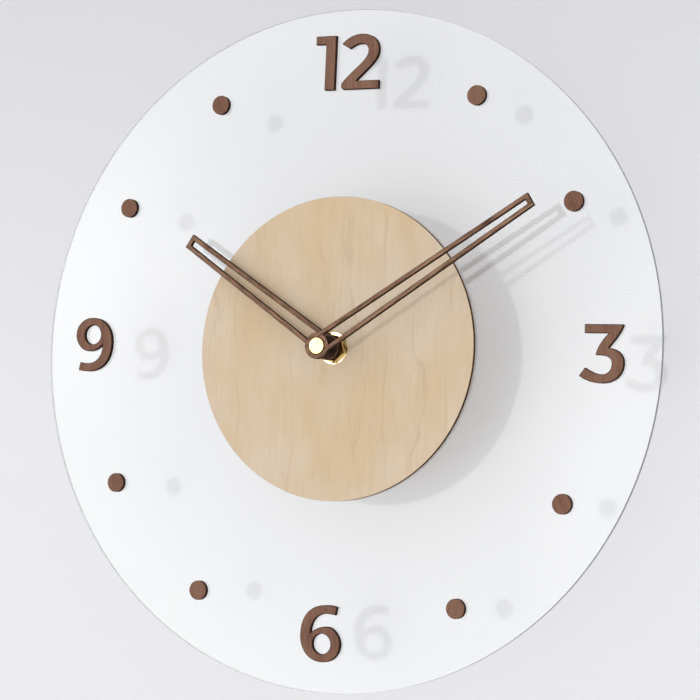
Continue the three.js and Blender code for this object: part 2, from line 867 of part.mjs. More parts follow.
// The phase at which a gap of the follower faces a tooth of its driver
function meshedPhase(driver, driverTeeth, driverPhase, follower, followerTeeth) {
  const angle = Math.atan2(follower[1] - driver[1], follower[0] - driver[0]);
  const share = ((angle - driverPhase) * driverTeeth) / fullTurn;
  return angle + Math.PI - (fullTurn / followerTeeth) * (0.5 - share);
}
const phase = { secondsWheel: 0, secondsPinion: 0, stepWheel: 0, thirdPinion: 0, cannon: 0 };
phase.minutePinion = 0;
function mate(driver, driverName, follower, followerName) {
  return meshedPhase(
    axis[driver],
    teeth[driverName],
    phase[driverName],
    axis[follower],
    teeth[followerName],
  );
}
phase.stepPinion = mate('hands', 'secondsWheel', 'step', 'stepPinion');
phase.rotor = mate('step', 'stepWheel', 'rotor', 'rotor');
phase.thirdWheel = mate('hands', 'secondsPinion', 'third', 'thirdWheel');
phase.centreWheel = mate('third', 'thirdPinion', 'hands', 'centreWheel');
phase.minuteWheel = mate('hands', 'cannon', 'minuteWheel', 'minuteWheel');
phase.hourWheel = mate('minuteWheel', 'minutePinion', 'hands', 'hourWheel');
phase.setting = mate('minuteWheel', 'minuteWheel', 'knob', 'setting');

function wheel(place, name, size, back) {
  const shape = wheelShape(teeth[name], size, phase[name]);
  return slab(shape, back, back + wheelThickness).translate(place[0], 0, place[1]);
}
function pinion(place, name, size, back, front) {
  const shape = pinionShape(teeth[name], size, phase[name]);
  return slab(shape, back, front).translate(place[0], 0, place[1]);
}
// An arbor with a shoulder and a thinner pivot at each end
function arbor(place, backShoulder, frontShoulder, frontPivot = pivotRadius) {
  return turned(
    [
      [0, backShoulder - pivotLength],
      [pivotRadius, backShoulder - pivotLength],
      [pivotRadius, backShoulder],
      [wheelArborRadius, backShoulder],
      [wheelArborRadius, frontShoulder],
      [frontPivot, frontShoulder],
      [frontPivot, frontShoulder + pivotLength],
      [0, frontShoulder + pivotLength],
    ],
    place,
    pivotSegments,
  );
}
const coverShoulder = coverThickness + bossHeight + endPlay / 2;
const plateShoulder = level.plate - endPlay / 2;
const inWheel = wheelThickness / 2;
const stubBack = level.centreWheel - collarThickness - 2 * endPlay;
function makeGoingTrain() {
  const centreFront = level.centreWheel + wheelThickness;
  const hub = ring(
    axis.hands,
    minuteStubRadius + runningFit,
    centreHubRadius,
    level.centreWheel - endPlay / 2,
    centreFront + pinionOverhang,
    boreSegments,
  );
  const bore = drill(
    axis.hands,
    minuteStubRadius + runningFit,
    level.centreWheel - beyond,
    centreFront + beyond,
  );
  piece(
    'centre_wheel',
    cut(join(wheel(axis.hands, 'centreWheel', centreModule, level.centreWheel), hub), bore),
    whitePlastic,
  );
  piece(
    'third_wheel',
    join(
      wheel(axis.third, 'thirdWheel', trainModule, level.thirdWheel),
      pinion(
        axis.third,
        'thirdPinion',
        centreModule,
        level.thirdWheel + inWheel,
        centreFront + pinionOverhang,
      ),
      arbor(axis.third, coverShoulder, plateShoulder),
    ),
    whitePlastic,
  );
  piece(
    'seconds_wheel',
    join(
      wheel(axis.hands, 'secondsWheel', trainModule, level.secondsWheel),
      pinion(
        axis.hands,
        'secondsPinion',
        trainModule,
        level.secondsWheel + inWheel,
        level.thirdWheel + wheelThickness + pinionOverhang,
      ),
      arbor(axis.hands, coverShoulder, stubBack - endPlay / 2, secondsPivotRadius),
    ),
    whitePlastic,
  );
  piece(
    'step_wheel',
    join(
      wheel(axis.step, 'stepWheel', trainModule, level.stepWheel),
      pinion(
        axis.step,
        'stepPinion',
        trainModule,
        level.stepWheel + inWheel,
        level.secondsWheel + wheelThickness + pinionOverhang,
      ),
      arbor(axis.step, coverShoulder, plateShoulder),
    ),
    whitePlastic,
  );
}
const magnetBack = stator.back + stator.thickness / 2 - magnet.thickness / 2;
function makeRotor() {
  piece(
    'rotor_pinion',
    join(
      pinion(
        axis.rotor,
        'rotor',
        trainModule,
        level.stepWheel - pinionOverhang,
        level.stepWheel + wheelThickness + pinionOverhang,
      ),
      arbor(axis.rotor, coverShoulder, plateShoulder),
    ),
    whitePlastic,
  );
  piece(
    'rotor_magnet',
    ring(
      axis.rotor,
      wheelArborRadius + slipFit,
      magnet.radius,
      magnetBack,
      magnetBack + magnet.thickness,
      boreSegments,
    ),
    ferrite,
  );
}
function makeMotionWork() {
  const cannonBack = plateFront + endPlay;
  const cannonFront = level.minuteWheel + wheelThickness + pinionOverhang - endPlay / 2;
  const capBack = minuteHandFront - capRecess;
  const stem = turned(
    [
      [0, stubBack],
      [collarRadius, stubBack],
      [collarRadius, stubBack + collarThickness],
      [minuteStubRadius, stubBack + collarThickness],
      [minuteStubRadius, level.plate - endPlay],
      [minuteArborRadius, level.plate - endPlay],
      [minuteArborRadius, cannonBack],
      [minuteStubRadius, cannonBack],
      [minuteStubRadius, cannonFront],
      [minuteArborRadius, cannonFront],
      [minuteArborRadius, capBack],
      [0, capBack],
    ],
    axis.hands,
    boreSegments,
  );
  const leaves = pinion(axis.hands, 'cannon', motionModule, cannonBack - overlap / 2, cannonFront);
  const pivotBore = drill(
    axis.hands,
    secondsPivotRadius + runningFit,
    stubBack - beyond,
    stubBack + pivotLength,
    pivotSegments,
  );
  piece('minute_arbor', cut(join(stem, leaves), pivotBore), brass);
  piece(
    'clutch_spring',
    ring(
      axis.hands,
      minuteStubRadius + slipFit,
      centreHubRadius,
      level.plate - endPlay - clutchThickness - slipFit,
      level.plate - endPlay - slipFit,
      boreSegments,
    ),
    steel,
  );
  const minuteShoulder = plateFront + endPlay / 2;
  piece(
    'minute_wheel',
    join(
      wheel(axis.minuteWheel, 'minuteWheel', motionModule, level.minuteWheel),
      pinion(
        axis.minuteWheel,
        'minutePinion',
        hourModule,
        level.minuteWheel + inWheel,
        wallShoulder - endPlay,
      ),
      arbor(axis.minuteWheel, minuteShoulder, wallShoulder - endPlay / 2),
    ),
    whitePlastic,
  );
  const tubeFront = hourHandFront + hourBushFlange;
  const tube = rod(axis.hands, hourTubeRadius, cannonFront + endPlay, tubeFront, roundSegments);
  const bore = drill(axis.hands, minuteArborRadius + runningFit, cannonFront, tubeFront + beyond);
  piece(
    'hour_wheel',
    cut(join(wheel(axis.hands, 'hourWheel', hourModule, level.hourWheel), tube), bore),
    blackPlastic,
  );
}
function makeKnob() {
  const headFront = knob.recess + knob.thickness;
  const valley = knob.radius - knob.ribDepth;
  const rib = flatTopped(valley, knob.ribRoot, knob.radius, knob.ribTip);
  const head = slab(toothedShape(knob.ribs, rib, 0), knob.recess, headFront);
  const settingFront = level.minuteWheel + wheelThickness + endPlay;
  const frontShoulder = wallShoulder - endPlay / 2;
  const shaft = turned(
    [
      [0, headFront - overlap],
      [knobShaftRadius, headFront - overlap],
      [knobShaftRadius, frontShoulder],
      [knobPivotRadius, frontShoulder],
      [knobPivotRadius, frontShoulder + pivotLength],
      [0, frontShoulder + pivotLength],
    ],
    axis.knob,
    boreSegments,
  );
  piece(
    'setting_knob',
    join(
      head.translate(axis.knob[0], 0, axis.knob[1]),
      shaft,
      pinion(axis.knob, 'setting', motionModule, level.minuteWheel - endPlay, settingFront),
    ),
    blackPlastic,
  );
}

// Motor: a two-pole stator whose arms reach the ends of the coil's core
function makeMotor() {
  const [x, z] = axis.rotor;
  const [left, right] = corePadPlaces;
  const half = stator.armWidth / 2;
  const front = statorFront;
  const bar = block(left[0], right[0], z - half, z + half, stator.back, front);
  const legs = corePadPlaces.map((place) =>
    block(place[0] - half, place[0] + half, z - half, place[1], stator.back, front),
  );
  const pads = corePadPlaces.map((place) => rod(place, half, stator.back, front, boreSegments));
  const poles = rod([x, z], stator.poleRadius, stator.back, front, roundSegments);
  const hole = drill([x, z], stator.holeRadius, stator.back - beyond, front + beyond, roundSegments);
  piece('stator', cut(join(bar, ...legs, ...pads, poles), hole), iron);

  const coreHalf = coil.coreWidth / 2;
  const middle = (statorFront + coreFront) / 2;
  const core = block(left[0], right[0], coilHeight - coreHalf, coilHeight + coreHalf, front, coreFront);
  const corePads = corePadPlaces.map((place) => rod(place, half, front, coreFront, boreSegments));
  piece('coil_core', join(core, ...corePads), iron);

  const end = coilLength / 2;
  const flangeHalf = coil.flange / 2;
  const flange = (from) =>
    block(
      from,
      from + coil.flangeThickness,
      coilHeight - flangeHalf,
      coilHeight + flangeHalf,
      middle - flangeHalf,
      middle + flangeHalf,
    );
  const barrel = lengthwise(
    [[0, -end + overlap], [coil.barrel, -end + overlap], [coil.barrel, end - overlap], [0, end - overlap]],
    coilCentreX,
    middle,
    coilHeight,
  );
  const gap = slipFit;
  const tunnel = block(
    -end - beyond,
    end + beyond,
    coilHeight - coreHalf - gap,
    coilHeight + coreHalf + gap,
    front - gap,
    coreFront + gap,
  );
  const bobbin = join(barrel, flange(-end), flange(end - coil.flangeThickness));
  piece('coil_bobbin', cut(bobbin, tunnel), whitePlastic);
  const wound = end - coil.flangeThickness - slipFit;
  const inner = coil.barrel + slipFit;
  piece(
    'coil_winding',
    lengthwise(
      [[inner, -wound], [coil.radius, -wound], [coil.radius, wound], [inner, wound]],
      coilCentreX,
      middle,
      coilHeight,
    ),
    copper,
  );
}
// A closed profile of [radius, distance along +X] corners, turned about a line along X
function lengthwise(profile, x, forward, z) {
  return turned(profile, [0, 0], boreSegments).rotateZ(Math.PI / 2).translate(x, -forward, z);
}

function makeElectronics() {
  const outline = polygon([
    [board.left, board.bottom],
    [boardRight, board.bottom],
    [boardRight, board.top],
    [board.left, board.top],
  ]);
  piece('circuit_board', slab(outline, board.back, boardFront), laminate);
  const across = (board.left + boardRight) / 2;
  const middle = (board.bottom + board.top) / 2;
  const can = new THREE.CylinderGeometry(crystal.radius, crystal.radius, crystal.length, pivotSegments);
  can.rotateX(Math.PI / 2);
  const forward = boardFront + crystal.gap + crystal.radius;
  can.translate(across, -forward, middle + crystal.aboveMiddle);
  piece('quartz_crystal', can, steel);
  const place = [across, middle - chip.belowMiddle];
  piece(
    'chip_cover',
    turned(
      [
        [0, boardFront],
        [chip.radius, boardFront],
        [chip.shoulder, boardFront + chip.shoulderHeight],
        [chip.crown, boardFront + chip.height],
        [0, boardFront + chip.height],
      ],
      place,
      boreSegments,
    ),
    resin,
  );
}

// Cell and its contacts
const positiveFace = -insideAcross + contactGap + contactThickness + contactGap;
function makeCell() {
  const { radius, length, nubRadius, nubLength, rim } = cell;
  piece(
    'cell',
    lengthwise(
      [
        [0, 0],
        [nubRadius, 0],
        [nubRadius, nubLength],
        [radius - rim, nubLength],
        [radius, nubLength + rim],
        [radius, length - rim],
        [radius - rim, length],
        [0, length],
      ],
      positiveFace,
      cellForward,
      cellHeight,
    ),
    cellWrap,
  );
}
// A strip of sheet metal seen edge on, along a line of [x, z] points
function ribbon(points, thickness) {
  const half = thickness / 2;
  const normal = ([x0, z0], [x1, z1]) => {
    const length = Math.hypot(x1 - x0, z1 - z0);
    return [-(z1 - z0) / length, (x1 - x0) / length];
  };
  const sides = points.map((point, i) => {
    const before = normal(points[Math.max(i - 1, 0)], points[Math.max(i, 1)]);
    const last = points.length - 1;
    const after = normal(points[Math.min(i, last - 1)], points[Math.min(i + 1, last)]);
    const share = half / (1 + before[0] * after[0] + before[1] * after[1]);
    const shift = [(before[0] + after[0]) * share, (before[1] + after[1]) * share];
    return [
      [point[0] + shift[0], point[1] + shift[1]],
      [point[0] - shift[0], point[1] - shift[1]],
    ];
  });
  return polygon([...sides.map((pair) => pair[0]), ...sides.map((pair) => pair[1]).reverse()]);
}
function makeContacts() {
  const half = contactThickness / 2;
  const wallLine = insideAcross - contactGap - half;
  const overDivider = bayTop + bayWall + contactGap + half;
  const positive = [
    [-wallLine, cellHeight - contactReach],
    [-wallLine, overDivider],
    [board.left + contactThickness, overDivider],
    [board.left + contactThickness, board.bottom + contactOnBoard],
  ];
  const negativeFace = positiveFace + cell.length;
  const touch = negativeFace + contactGap + half;
  const negative = [
    [touch + contactBow.depth, cellHeight + contactReach],
    [touch, cellHeight + contactBow.above],
    [touch, cellHeight - contactBow.below],
    [touch + contactBow.depth, cellHeight - contactReach],
    [wallLine, cellHeight - contactReach - contactBow.foot],
    [wallLine, board.bottom + contactOnBoard],
  ];
  piece(
    'positive_contact',
    slab(ribbon(positive, contactThickness), contactBand.back, contactBand.front),
    steel,
  );
  piece(
    'negative_contact',
    slab(ribbon(negative, contactThickness), contactBand.back, contactBand.front),
    steel,
  );
}

makeDial();
makeNumerals();
makeDots();
makeHands();
makeFastening();
makeHanger();
makeCase();
makeCover();
makePlate();
makeGoingTrain();
makeRotor();
makeMotionWork();
makeKnob();
makeMotor();
makeElectronics();
makeCell();
makeContacts();

export default clock;
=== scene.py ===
"""A wall clock with a clear dial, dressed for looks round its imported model.

Metres, +Z up, the dial faces -Y. Sizes are written in millimetres and turned by MM. A size called
forward is the distance from the flat back of the movement towards the viewer.
"""

from __future__ import annotations

import logging
import math
from dataclasses import dataclass, field, replace
from enum import Enum
from typing import Callable, Mapping, Sequence

import bmesh
import bpy
from mathutils import Matrix, Quaternion, Vector
from mathutils.geometry import interpolate_bezier, tessellate_polygon


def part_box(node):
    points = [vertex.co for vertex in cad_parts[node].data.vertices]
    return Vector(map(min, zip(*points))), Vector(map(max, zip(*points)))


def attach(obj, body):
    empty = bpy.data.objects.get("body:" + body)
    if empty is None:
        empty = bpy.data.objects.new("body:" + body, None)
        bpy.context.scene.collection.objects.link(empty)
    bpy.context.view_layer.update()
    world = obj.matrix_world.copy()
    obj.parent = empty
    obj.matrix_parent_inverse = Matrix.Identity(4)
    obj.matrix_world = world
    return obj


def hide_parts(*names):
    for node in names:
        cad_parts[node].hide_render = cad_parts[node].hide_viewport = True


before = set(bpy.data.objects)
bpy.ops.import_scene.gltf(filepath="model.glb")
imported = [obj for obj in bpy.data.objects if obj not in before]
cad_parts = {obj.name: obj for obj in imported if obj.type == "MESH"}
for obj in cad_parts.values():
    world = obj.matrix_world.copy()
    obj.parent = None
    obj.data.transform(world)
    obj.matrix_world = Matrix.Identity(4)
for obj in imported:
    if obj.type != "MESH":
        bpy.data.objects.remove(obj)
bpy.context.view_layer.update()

LOG = logging.getLogger("wall_clock")
MM = 0.001
PER_MM = 1000.0
FULL_TURN = 2 * math.pi

Pair = tuple[float, float]
Point = tuple[float, float]
Loop = list[Point]
Colour = tuple[float, float, float, float]

# Numbers of the Mix node's colour sockets
MIX_A, MIX_B, MIX_OUT = 6, 7, 2


class Body(Enum):
    """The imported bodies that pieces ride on."""

    CLOCK = "clock_body"
    MINUTE = "minute_group"
    HOUR = "hour_group"
    KNOB = "knob_body"


class Slot(Enum):
    """The material slots of the record."""

    ACRYLIC = "clear_acrylic"
    MAPLE = "maple"
    WALNUT = "walnut"
    BRASS = "brass"
    STEEL = "steel"
    BLACK_PLASTIC = "black_plastic"
    RUBBER = "rubber"
    COPPER = "copper_wire"
    CELL_WRAP = "cell_wrap"


class Socket(Enum):
    """The kinds of input that a shape tree takes."""

    FLOAT = "NodeSocketFloat"
    INT = "NodeSocketInt"
    MATERIAL = "NodeSocketMaterial"


def linear(code: str) -> Colour:
    """Turns an sRGB colour into the linear one that shaders take.

    Args:
        code: The colour as a hex code, such as "#D9C4A1".

    Returns:
        Linear red, green and blue, and an alpha of 1.
    """
    shares = [int(code[i : i + 2], 16) / 255 for i in (1, 3, 5)]
    red, green, blue = (s / 12.92 if s <= 0.04045 else ((s + 0.055) / 1.055) ** 2.4 for s in shares)
    return red, green, blue, 1.0


def fill(
    tree: bpy.types.NodeTree, node: bpy.types.Node, inputs: Mapping[str | int, object]
) -> None:
    """Sets inputs of a node, or links them to other nodes.

    Args:
        tree: The node's tree.
        node: The node.
        inputs: A value or another node's socket for each input, by its name or number.
    """
    for key, value in inputs.items():
        if isinstance(value, bpy.types.NodeSocket):
            tree.links.new(value, node.inputs[key])
        else:
            node.inputs[key].default_value = value


def add(
    tree: bpy.types.NodeTree,
    kind: str,
    inputs: Mapping[str | int, object] | None = None,
    stops: Sequence[tuple[float, str]] = (),
    **settings: object,
) -> bpy.types.Node:
    """Adds one node to a shader or geometry tree.

    Args:
        tree: The tree that gets the node.
        kind: The node's type name.
        inputs: A value or another node's socket for each input, by its name or number.
        stops: Positions and hex colours, for a node with a colour ramp.
        **settings: The node's own settings.

    Returns:
        The new node.
    """
    node = tree.nodes.new(kind)
    for name, value in settings.items():
        setattr(node, name, value)
    fill(tree, node, inputs or {})
    for i, (position, code) in enumerate(stops):
        ramp = node.color_ramp.elements
        stop = ramp[i] if i < 2 else ramp.new(position)
        stop.position, stop.color = position, linear(code)
    return node


def stood(name: str, data: bpy.types.ID) -> bpy.types.Object:
    """Puts an object in the scene, at the origin.

    Args:
        name: Its name.
        data: Its mesh, light or camera.

    Returns:
        The object.
    """
    made = bpy.data.objects.new(name, data)
    bpy.context.scene.collection.objects.link(made)
    return made


# Outlines, in millimetres

CURVE_STEPS = 14

# One plus the cosine of a corner's turn counts as at least this, or a sharp corner runs far out
SHARPEST = 0.2


class Outline:
    """A line drawn in the plane of the dial: x to the viewer's right and z up."""

    def __init__(self, x: float, z: float) -> None:
        """Starts the line at a point."""
        self.points: Loop = [(x, z)]

    def line(self, *points: Point) -> Outline:
        """Goes straight to each point in turn."""
        self.points.extend(points)
        return self

    def curve(self, first: Point, second: Point, end: Point) -> Outline:
        """Goes to end along a cubic curve with two handles."""
        ends = [Vector((x, z, 0)) for x, z in (self.points[-1], first, second, end)]
        made = interpolate_bezier(*ends, CURVE_STEPS + 1)
        self.points.extend((point[0], point[1]) for point in made[1:])
        return self

    def arc(self, radius: float, start: float, end: float, steps: int, z: float = 0.0) -> Outline:
        """Goes round a circle on the middle line, between two angles in radians."""
        for i in range(steps + 1):
            angle = start + (end - start) * i / steps
            self.points.append((radius * math.cos(angle), z + radius * math.sin(angle)))
        return self


def circle(radius: float, count: int, centre: Point = (0.0, 0.0)) -> Loop:
    """A circle as a loop of points."""
    turns = [FULL_TURN * i / count for i in range(count)]
    return [(centre[0] + radius * math.cos(a), centre[1] + radius * math.sin(a)) for a in turns]


def moved(loop: Loop, x: float = 0.0, z: float = 0.0, clockwise: float = 0.0) -> Loop:
    """Turns a loop clockwise about the hand axis, in radians, and then shifts it."""
    c, s = math.cos(clockwise), math.sin(clockwise)
    return [(px * c + pz * s + x, pz * c - px * s + z) for px, pz in loop]


def area(loop: Loop) -> float:
    """The signed area of a loop, above 0 where it runs anticlockwise for the viewer."""
    return sum(a[0] * b[1] - b[0] * a[1] for a, b in zip(loop, loop[1:] + loop[:1])) / 2


def wound(loop: Loop, anticlockwise: bool) -> Loop:
    """The loop, running the way that is asked for."""
    return loop if (area(loop) > 0) == anticlockwise else loop[::-1]


def inset(loop: Loop, distance: float) -> Loop:
    """Moves each point of a loop to its left, which is into the material.

    Args:
        loop: An outline that runs anticlockwise, or a hole that runs clockwise.
        distance: How far the sides move.

    Returns:
        The smaller outline, or the larger hole.
    """
    made = []
    for before, point, after in zip(loop[-1:] + loop[:-1], loop, loop[1:] + loop[:1]):
        sides = []
        for a, b in ((before, point), (point, after)):
            length = math.hypot(b[0] - a[0], b[1] - a[1]) or 1.0
            sides.append((-(b[1] - a[1]) / length, (b[0] - a[0]) / length))
        (ax, az), (bx, bz) = sides
        share = distance / max(1 + ax * bx + az * bz, SHARPEST)
        made.append((point[0] + (ax + bx) * share, point[1] + (az + bz) * share))
    return made


def rounded(loop: Loop, radius: float, closed: bool = True, steps: int = 3) -> Loop:
    """Rounds the corners of a loop, or of an open profile between its two ends.

    Args:
        loop: The points.
        radius: How far from a corner its rounding starts, at most half of the shorter side.
        closed: Whether the last point joins the first.
        steps: Sides of each rounding.

    Returns:
        The points with their corners rounded.
    """
    made: Loop = []
    for i, point in enumerate(loop):
        if not closed and i in (0, len(loop) - 1):
            made.append(point)
            continue
        corner = Vector(point)
        ends = [Vector(loop[i - 1]), Vector(loop[(i + 1) % len(loop)])]
        first, last = (
            corner + (end - corner).normalized() * min(radius, (end - corner).length / 2)
            for end in ends
        )
        for k in range(steps + 1):
            t = k / steps
            at = first * (1 - t) ** 2 + corner * 2 * t * (1 - t) + last * t**2
            made.append((at.x, at.y))
    return made


# Closed shells

FACE, EDGE, SCORCH = 0, 1, 2


@dataclass
class Shell:
    """The vertices in millimetres and the faces of a closed body, with a finish for each face."""

    vertices: list[tuple[float, float, float]] = field(default_factory=list)
    faces: list[tuple[int, ...]] = field(default_factory=list)
    finishes: list[int] = field(default_factory=list)

    def face(self, corners: tuple[int, ...], finish: int = FACE) -> None:
        """Adds one face."""
        self.faces.append(corners)
        self.finishes.append(finish)

    def placed(self, place: Matrix) -> Shell:
        """The same shell, turned and moved by a matrix."""
        self.vertices = [tuple(place @ Vector(point)) for point in self.vertices]
        return self


def prism(
    outline: Loop, holes: Sequence[Loop], back: float, front: float, edge: float, scorch: float
) -> Shell:
    """A plate with the outline's shape, with its edges broken.

    Args:
        outline: The outer line.
        holes: The lines of its openings.
        back: Forward place of the back face.
        front: Forward place of the front face.
        edge: Width of the broken edge, front and back.
        scorch: Width of the band beside the edge that the beam browned.

    Returns:
        The shell, its two flat faces as FACE, the bands beside them as SCORCH and the rest as EDGE.
    """
    loops = [wound(outline, True), *(wound(hole, False) for hole in holes)]
    inside = edge + scorch
    levels = (
        (back, inside),
        (back, edge),
        (back + edge, 0.0),
        (front - edge, 0.0),
        (front, edge),
        (front, inside),
    )
    bands = (SCORCH, EDGE, EDGE, EDGE, SCORCH)
    shell = Shell()
    rings: list[list[int]] = []
    for forward, smaller in levels:
        starts = []
        for loop in loops:
            starts.append(len(shell.vertices))
            shell.vertices += [(x, -forward, z) for x, z in inset(loop, smaller)]
        rings.append(starts)
    for lower, upper, band in zip(rings, rings[1:], bands):
        for loop, a, b in zip(loops, lower, upper):
            for i in range(len(loop)):
                j = (i + 1) % len(loop)
                shell.face((a + i, a + j, b + j, b + i), band)
    flat = [[Vector((x, z, 0)) for x, z in inset(loop, inside)] for loop in loops]
    points = [point for loop in flat for point in loop]
    for triangle in tessellate_polygon(flat):
        a, b, c = (points[i] for i in triangle)
        towards = triangle if (b - a).cross(c - a).z > 0 else triangle[::-1]
        shell.face(tuple(rings[-1][0] + i for i in towards))
        shell.face(tuple(rings[0][0] + i for i in towards[::-1]))
    return shell


def lathe(
    profile: Loop,
    segments: int,
    centre: Point = (0.0, 0.0),
    finish: Callable[[Point, Point], int] = lambda a, b: FACE,
) -> Shell:
    """A body turned about a line along the hand axis.

    Args:
        profile: Points of radius and forward place. It is closed unless it starts on the axis.
        segments: Sides of each turn.
        centre: Where the line is, as x and z.
        finish: Gives the finish of the surface between two points of the profile.

    Returns:
        The closed shell.
    """
    profile = wound(profile, True)
    shell = Shell()
    rings: list[list[int]] = []
    for radius, forward in profile:
        first = len(shell.vertices)
        if radius <= 0:
            shell.vertices.append((centre[0], -forward, centre[1]))
            rings.append([first] * segments)
            continue
        shell.vertices += [(x, -forward, z) for x, z in circle(radius, segments, centre)]
        rings.append(list(range(first, first + segments)))
    on_axis = min(radius for radius, _ in profile) <= 0
    last = len(profile) - 1 if on_axis else len(profile)
    for k in range(last):
        n = (k + 1) % len(profile)
        if profile[k][0] <= 0 and profile[n][0] <= 0:
            continue
        which = finish(profile[k], profile[n])
        for i in range(segments):
            j = (i + 1) % segments
            corners = (rings[k][i], rings[k][j], rings[n][j], rings[n][i])
            shell.face(tuple(dict.fromkeys(corners)), which)
    return shell


# Edges that turn by less than this are shaded smooth, and so are flat faces below this area
SMOOTH_BELOW = math.radians(32)
FLAT_FROM = 3.0 * MM * MM

# A face lies flat along an axis where its normal's share along it is at least this
IN_LINE = 0.99999

# Neighbouring faces that turn by less than this are one flat face, and vertices that lie closer
# than this are one
SAME_FLAT = math.radians(1)
SAME_POINT = MM * MM

# Edges that turn by more than this are rounded, each with this many faces
SHARP = math.radians(50)
EDGE_FACES = 2


def shaded(mesh: bpy.types.Mesh, flat_along: Sequence[int] = (1,)) -> None:
    """Shades a mesh smooth, apart from its sharp edges and its large flat faces.

    Args:
        mesh: The mesh.
        flat_along: The axes along which large faces stay flat, as numbers from 0 for X.
    """
    smooth = [
        face.area < FLAT_FROM or all(abs(face.normal[axis]) < IN_LINE for axis in flat_along)
        for face in mesh.polygons
    ]
    mesh.set_sharp_from_angle(angle=SMOOTH_BELOW)
    mesh.polygons.foreach_set("use_smooth", smooth)


def made_of(name: str, shells: Sequence[Shell], finishes: Sequence[Finish]) -> bpy.types.Object:
    """Makes one object of closed shells.

    Args:
        name: The piece's name.
        shells: What it is made of.
        finishes: The finishes that the shells' faces name by number.

    Returns:
        The object, at the origin.
    """
    mesh = bpy.data.meshes.new(name)
    points: list[tuple[float, ...]] = []
    faces: list[tuple[int, ...]] = []
    for shell in shells:
        faces += [tuple(i + len(points) for i in corners) for corners in shell.faces]
        points += [tuple(value * MM for value in point) for point in shell.vertices]
    mesh.from_pydata(points, [], faces)
    mesh.polygons.foreach_set("material_index", [f for shell in shells for f in shell.finishes])
    for finish in finishes:
        mesh.materials.append(finish.material())
    shaded(mesh)
    return stood(name, mesh)


def evaluated(piece: bpy.types.Object) -> bpy.types.Object:
    """Replaces a piece's mesh by what its modifiers make of it, and removes them."""
    bpy.context.view_layer.update()
    graph = bpy.context.evaluated_depsgraph_get()
    mesh = bpy.data.meshes.new_from_object(piece.evaluated_get(graph), depsgraph=graph)
    mesh.name = piece.name
    piece.modifiers.clear()
    piece.data = mesh
    return piece


def bevelled(piece: bpy.types.Object, width: float) -> bpy.types.Object:
    """Rounds a piece's sharp edges.

    Args:
        piece: The piece.
        width: Width of the rounding in millimetres.

    Returns:
        The piece, its mesh final.
    """
    rounding = piece.modifiers.new("edges", "BEVEL")
    rounding.width = width * MM
    rounding.segments = EDGE_FACES
    rounding.limit_method = "ANGLE"
    rounding.angle_limit = SHARP
    rounding.use_clamp_overlap = True
    evaluated(piece)
    shaded(piece.data, flat_along=(0, 1, 2))
    return piece


def softened(node: str, name: str, width: float, finish: Finish) -> bpy.types.Object:
    """A copy of a CAD node with its flat faces whole and its edges rounded.

    Args:
        node: The CAD node.
        name: The new piece's name.
        width: Width of the rounding in millimetres.
        finish: Its finish.

    Returns:
        The piece.
    """
    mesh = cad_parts[node].data.copy()
    mesh.name = name
    work = bmesh.new()
    work.from_mesh(mesh)
    bmesh.ops.remove_doubles(work, verts=work.verts, dist=SAME_POINT)
    bmesh.ops.dissolve_limit(work, angle_limit=SAME_FLAT, verts=work.verts, edges=work.edges)
    work.to_mesh(mesh)
    work.free()
    mesh.materials.clear()
    mesh.materials.append(finish.material())
    return bevelled(stood(name, mesh), width)


def settle(piece: bpy.types.Object, body: Body, slot: Slot, *nodes: str) -> bpy.types.Object:
    """Puts a finished piece on its body, in place of its CAD nodes.

    Args:
        piece: The piece.
        body: What it moves with.
        slot: The record's slot that its finish stands for; not used.
        *nodes: The CAD nodes that it replaces.

    Returns:
        The piece.
    """
    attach(piece, body.value)
    if nodes:
        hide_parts(*nodes)
    LOG.info("%s: %d faces on %s", piece.name, len(piece.data.polygons), body.value)
    return piece


def span(node: str) -> Pair:
    """The forward places of a CAD node's back and front, in millimetres."""
    low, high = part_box(node)
    return -high.y * PER_MM, -low.y * PER_MM


def half_width(node: str) -> float:
    """Half of a CAD node's width across the dial, in millimetres."""
    low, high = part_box(node)
    return (high.x - low.x) / 2 * PER_MM


# A face takes the finish of the piece's faces where its normal's share along the hand axis is
# above this, and otherwise the finish of its edge
FACING = 0.9


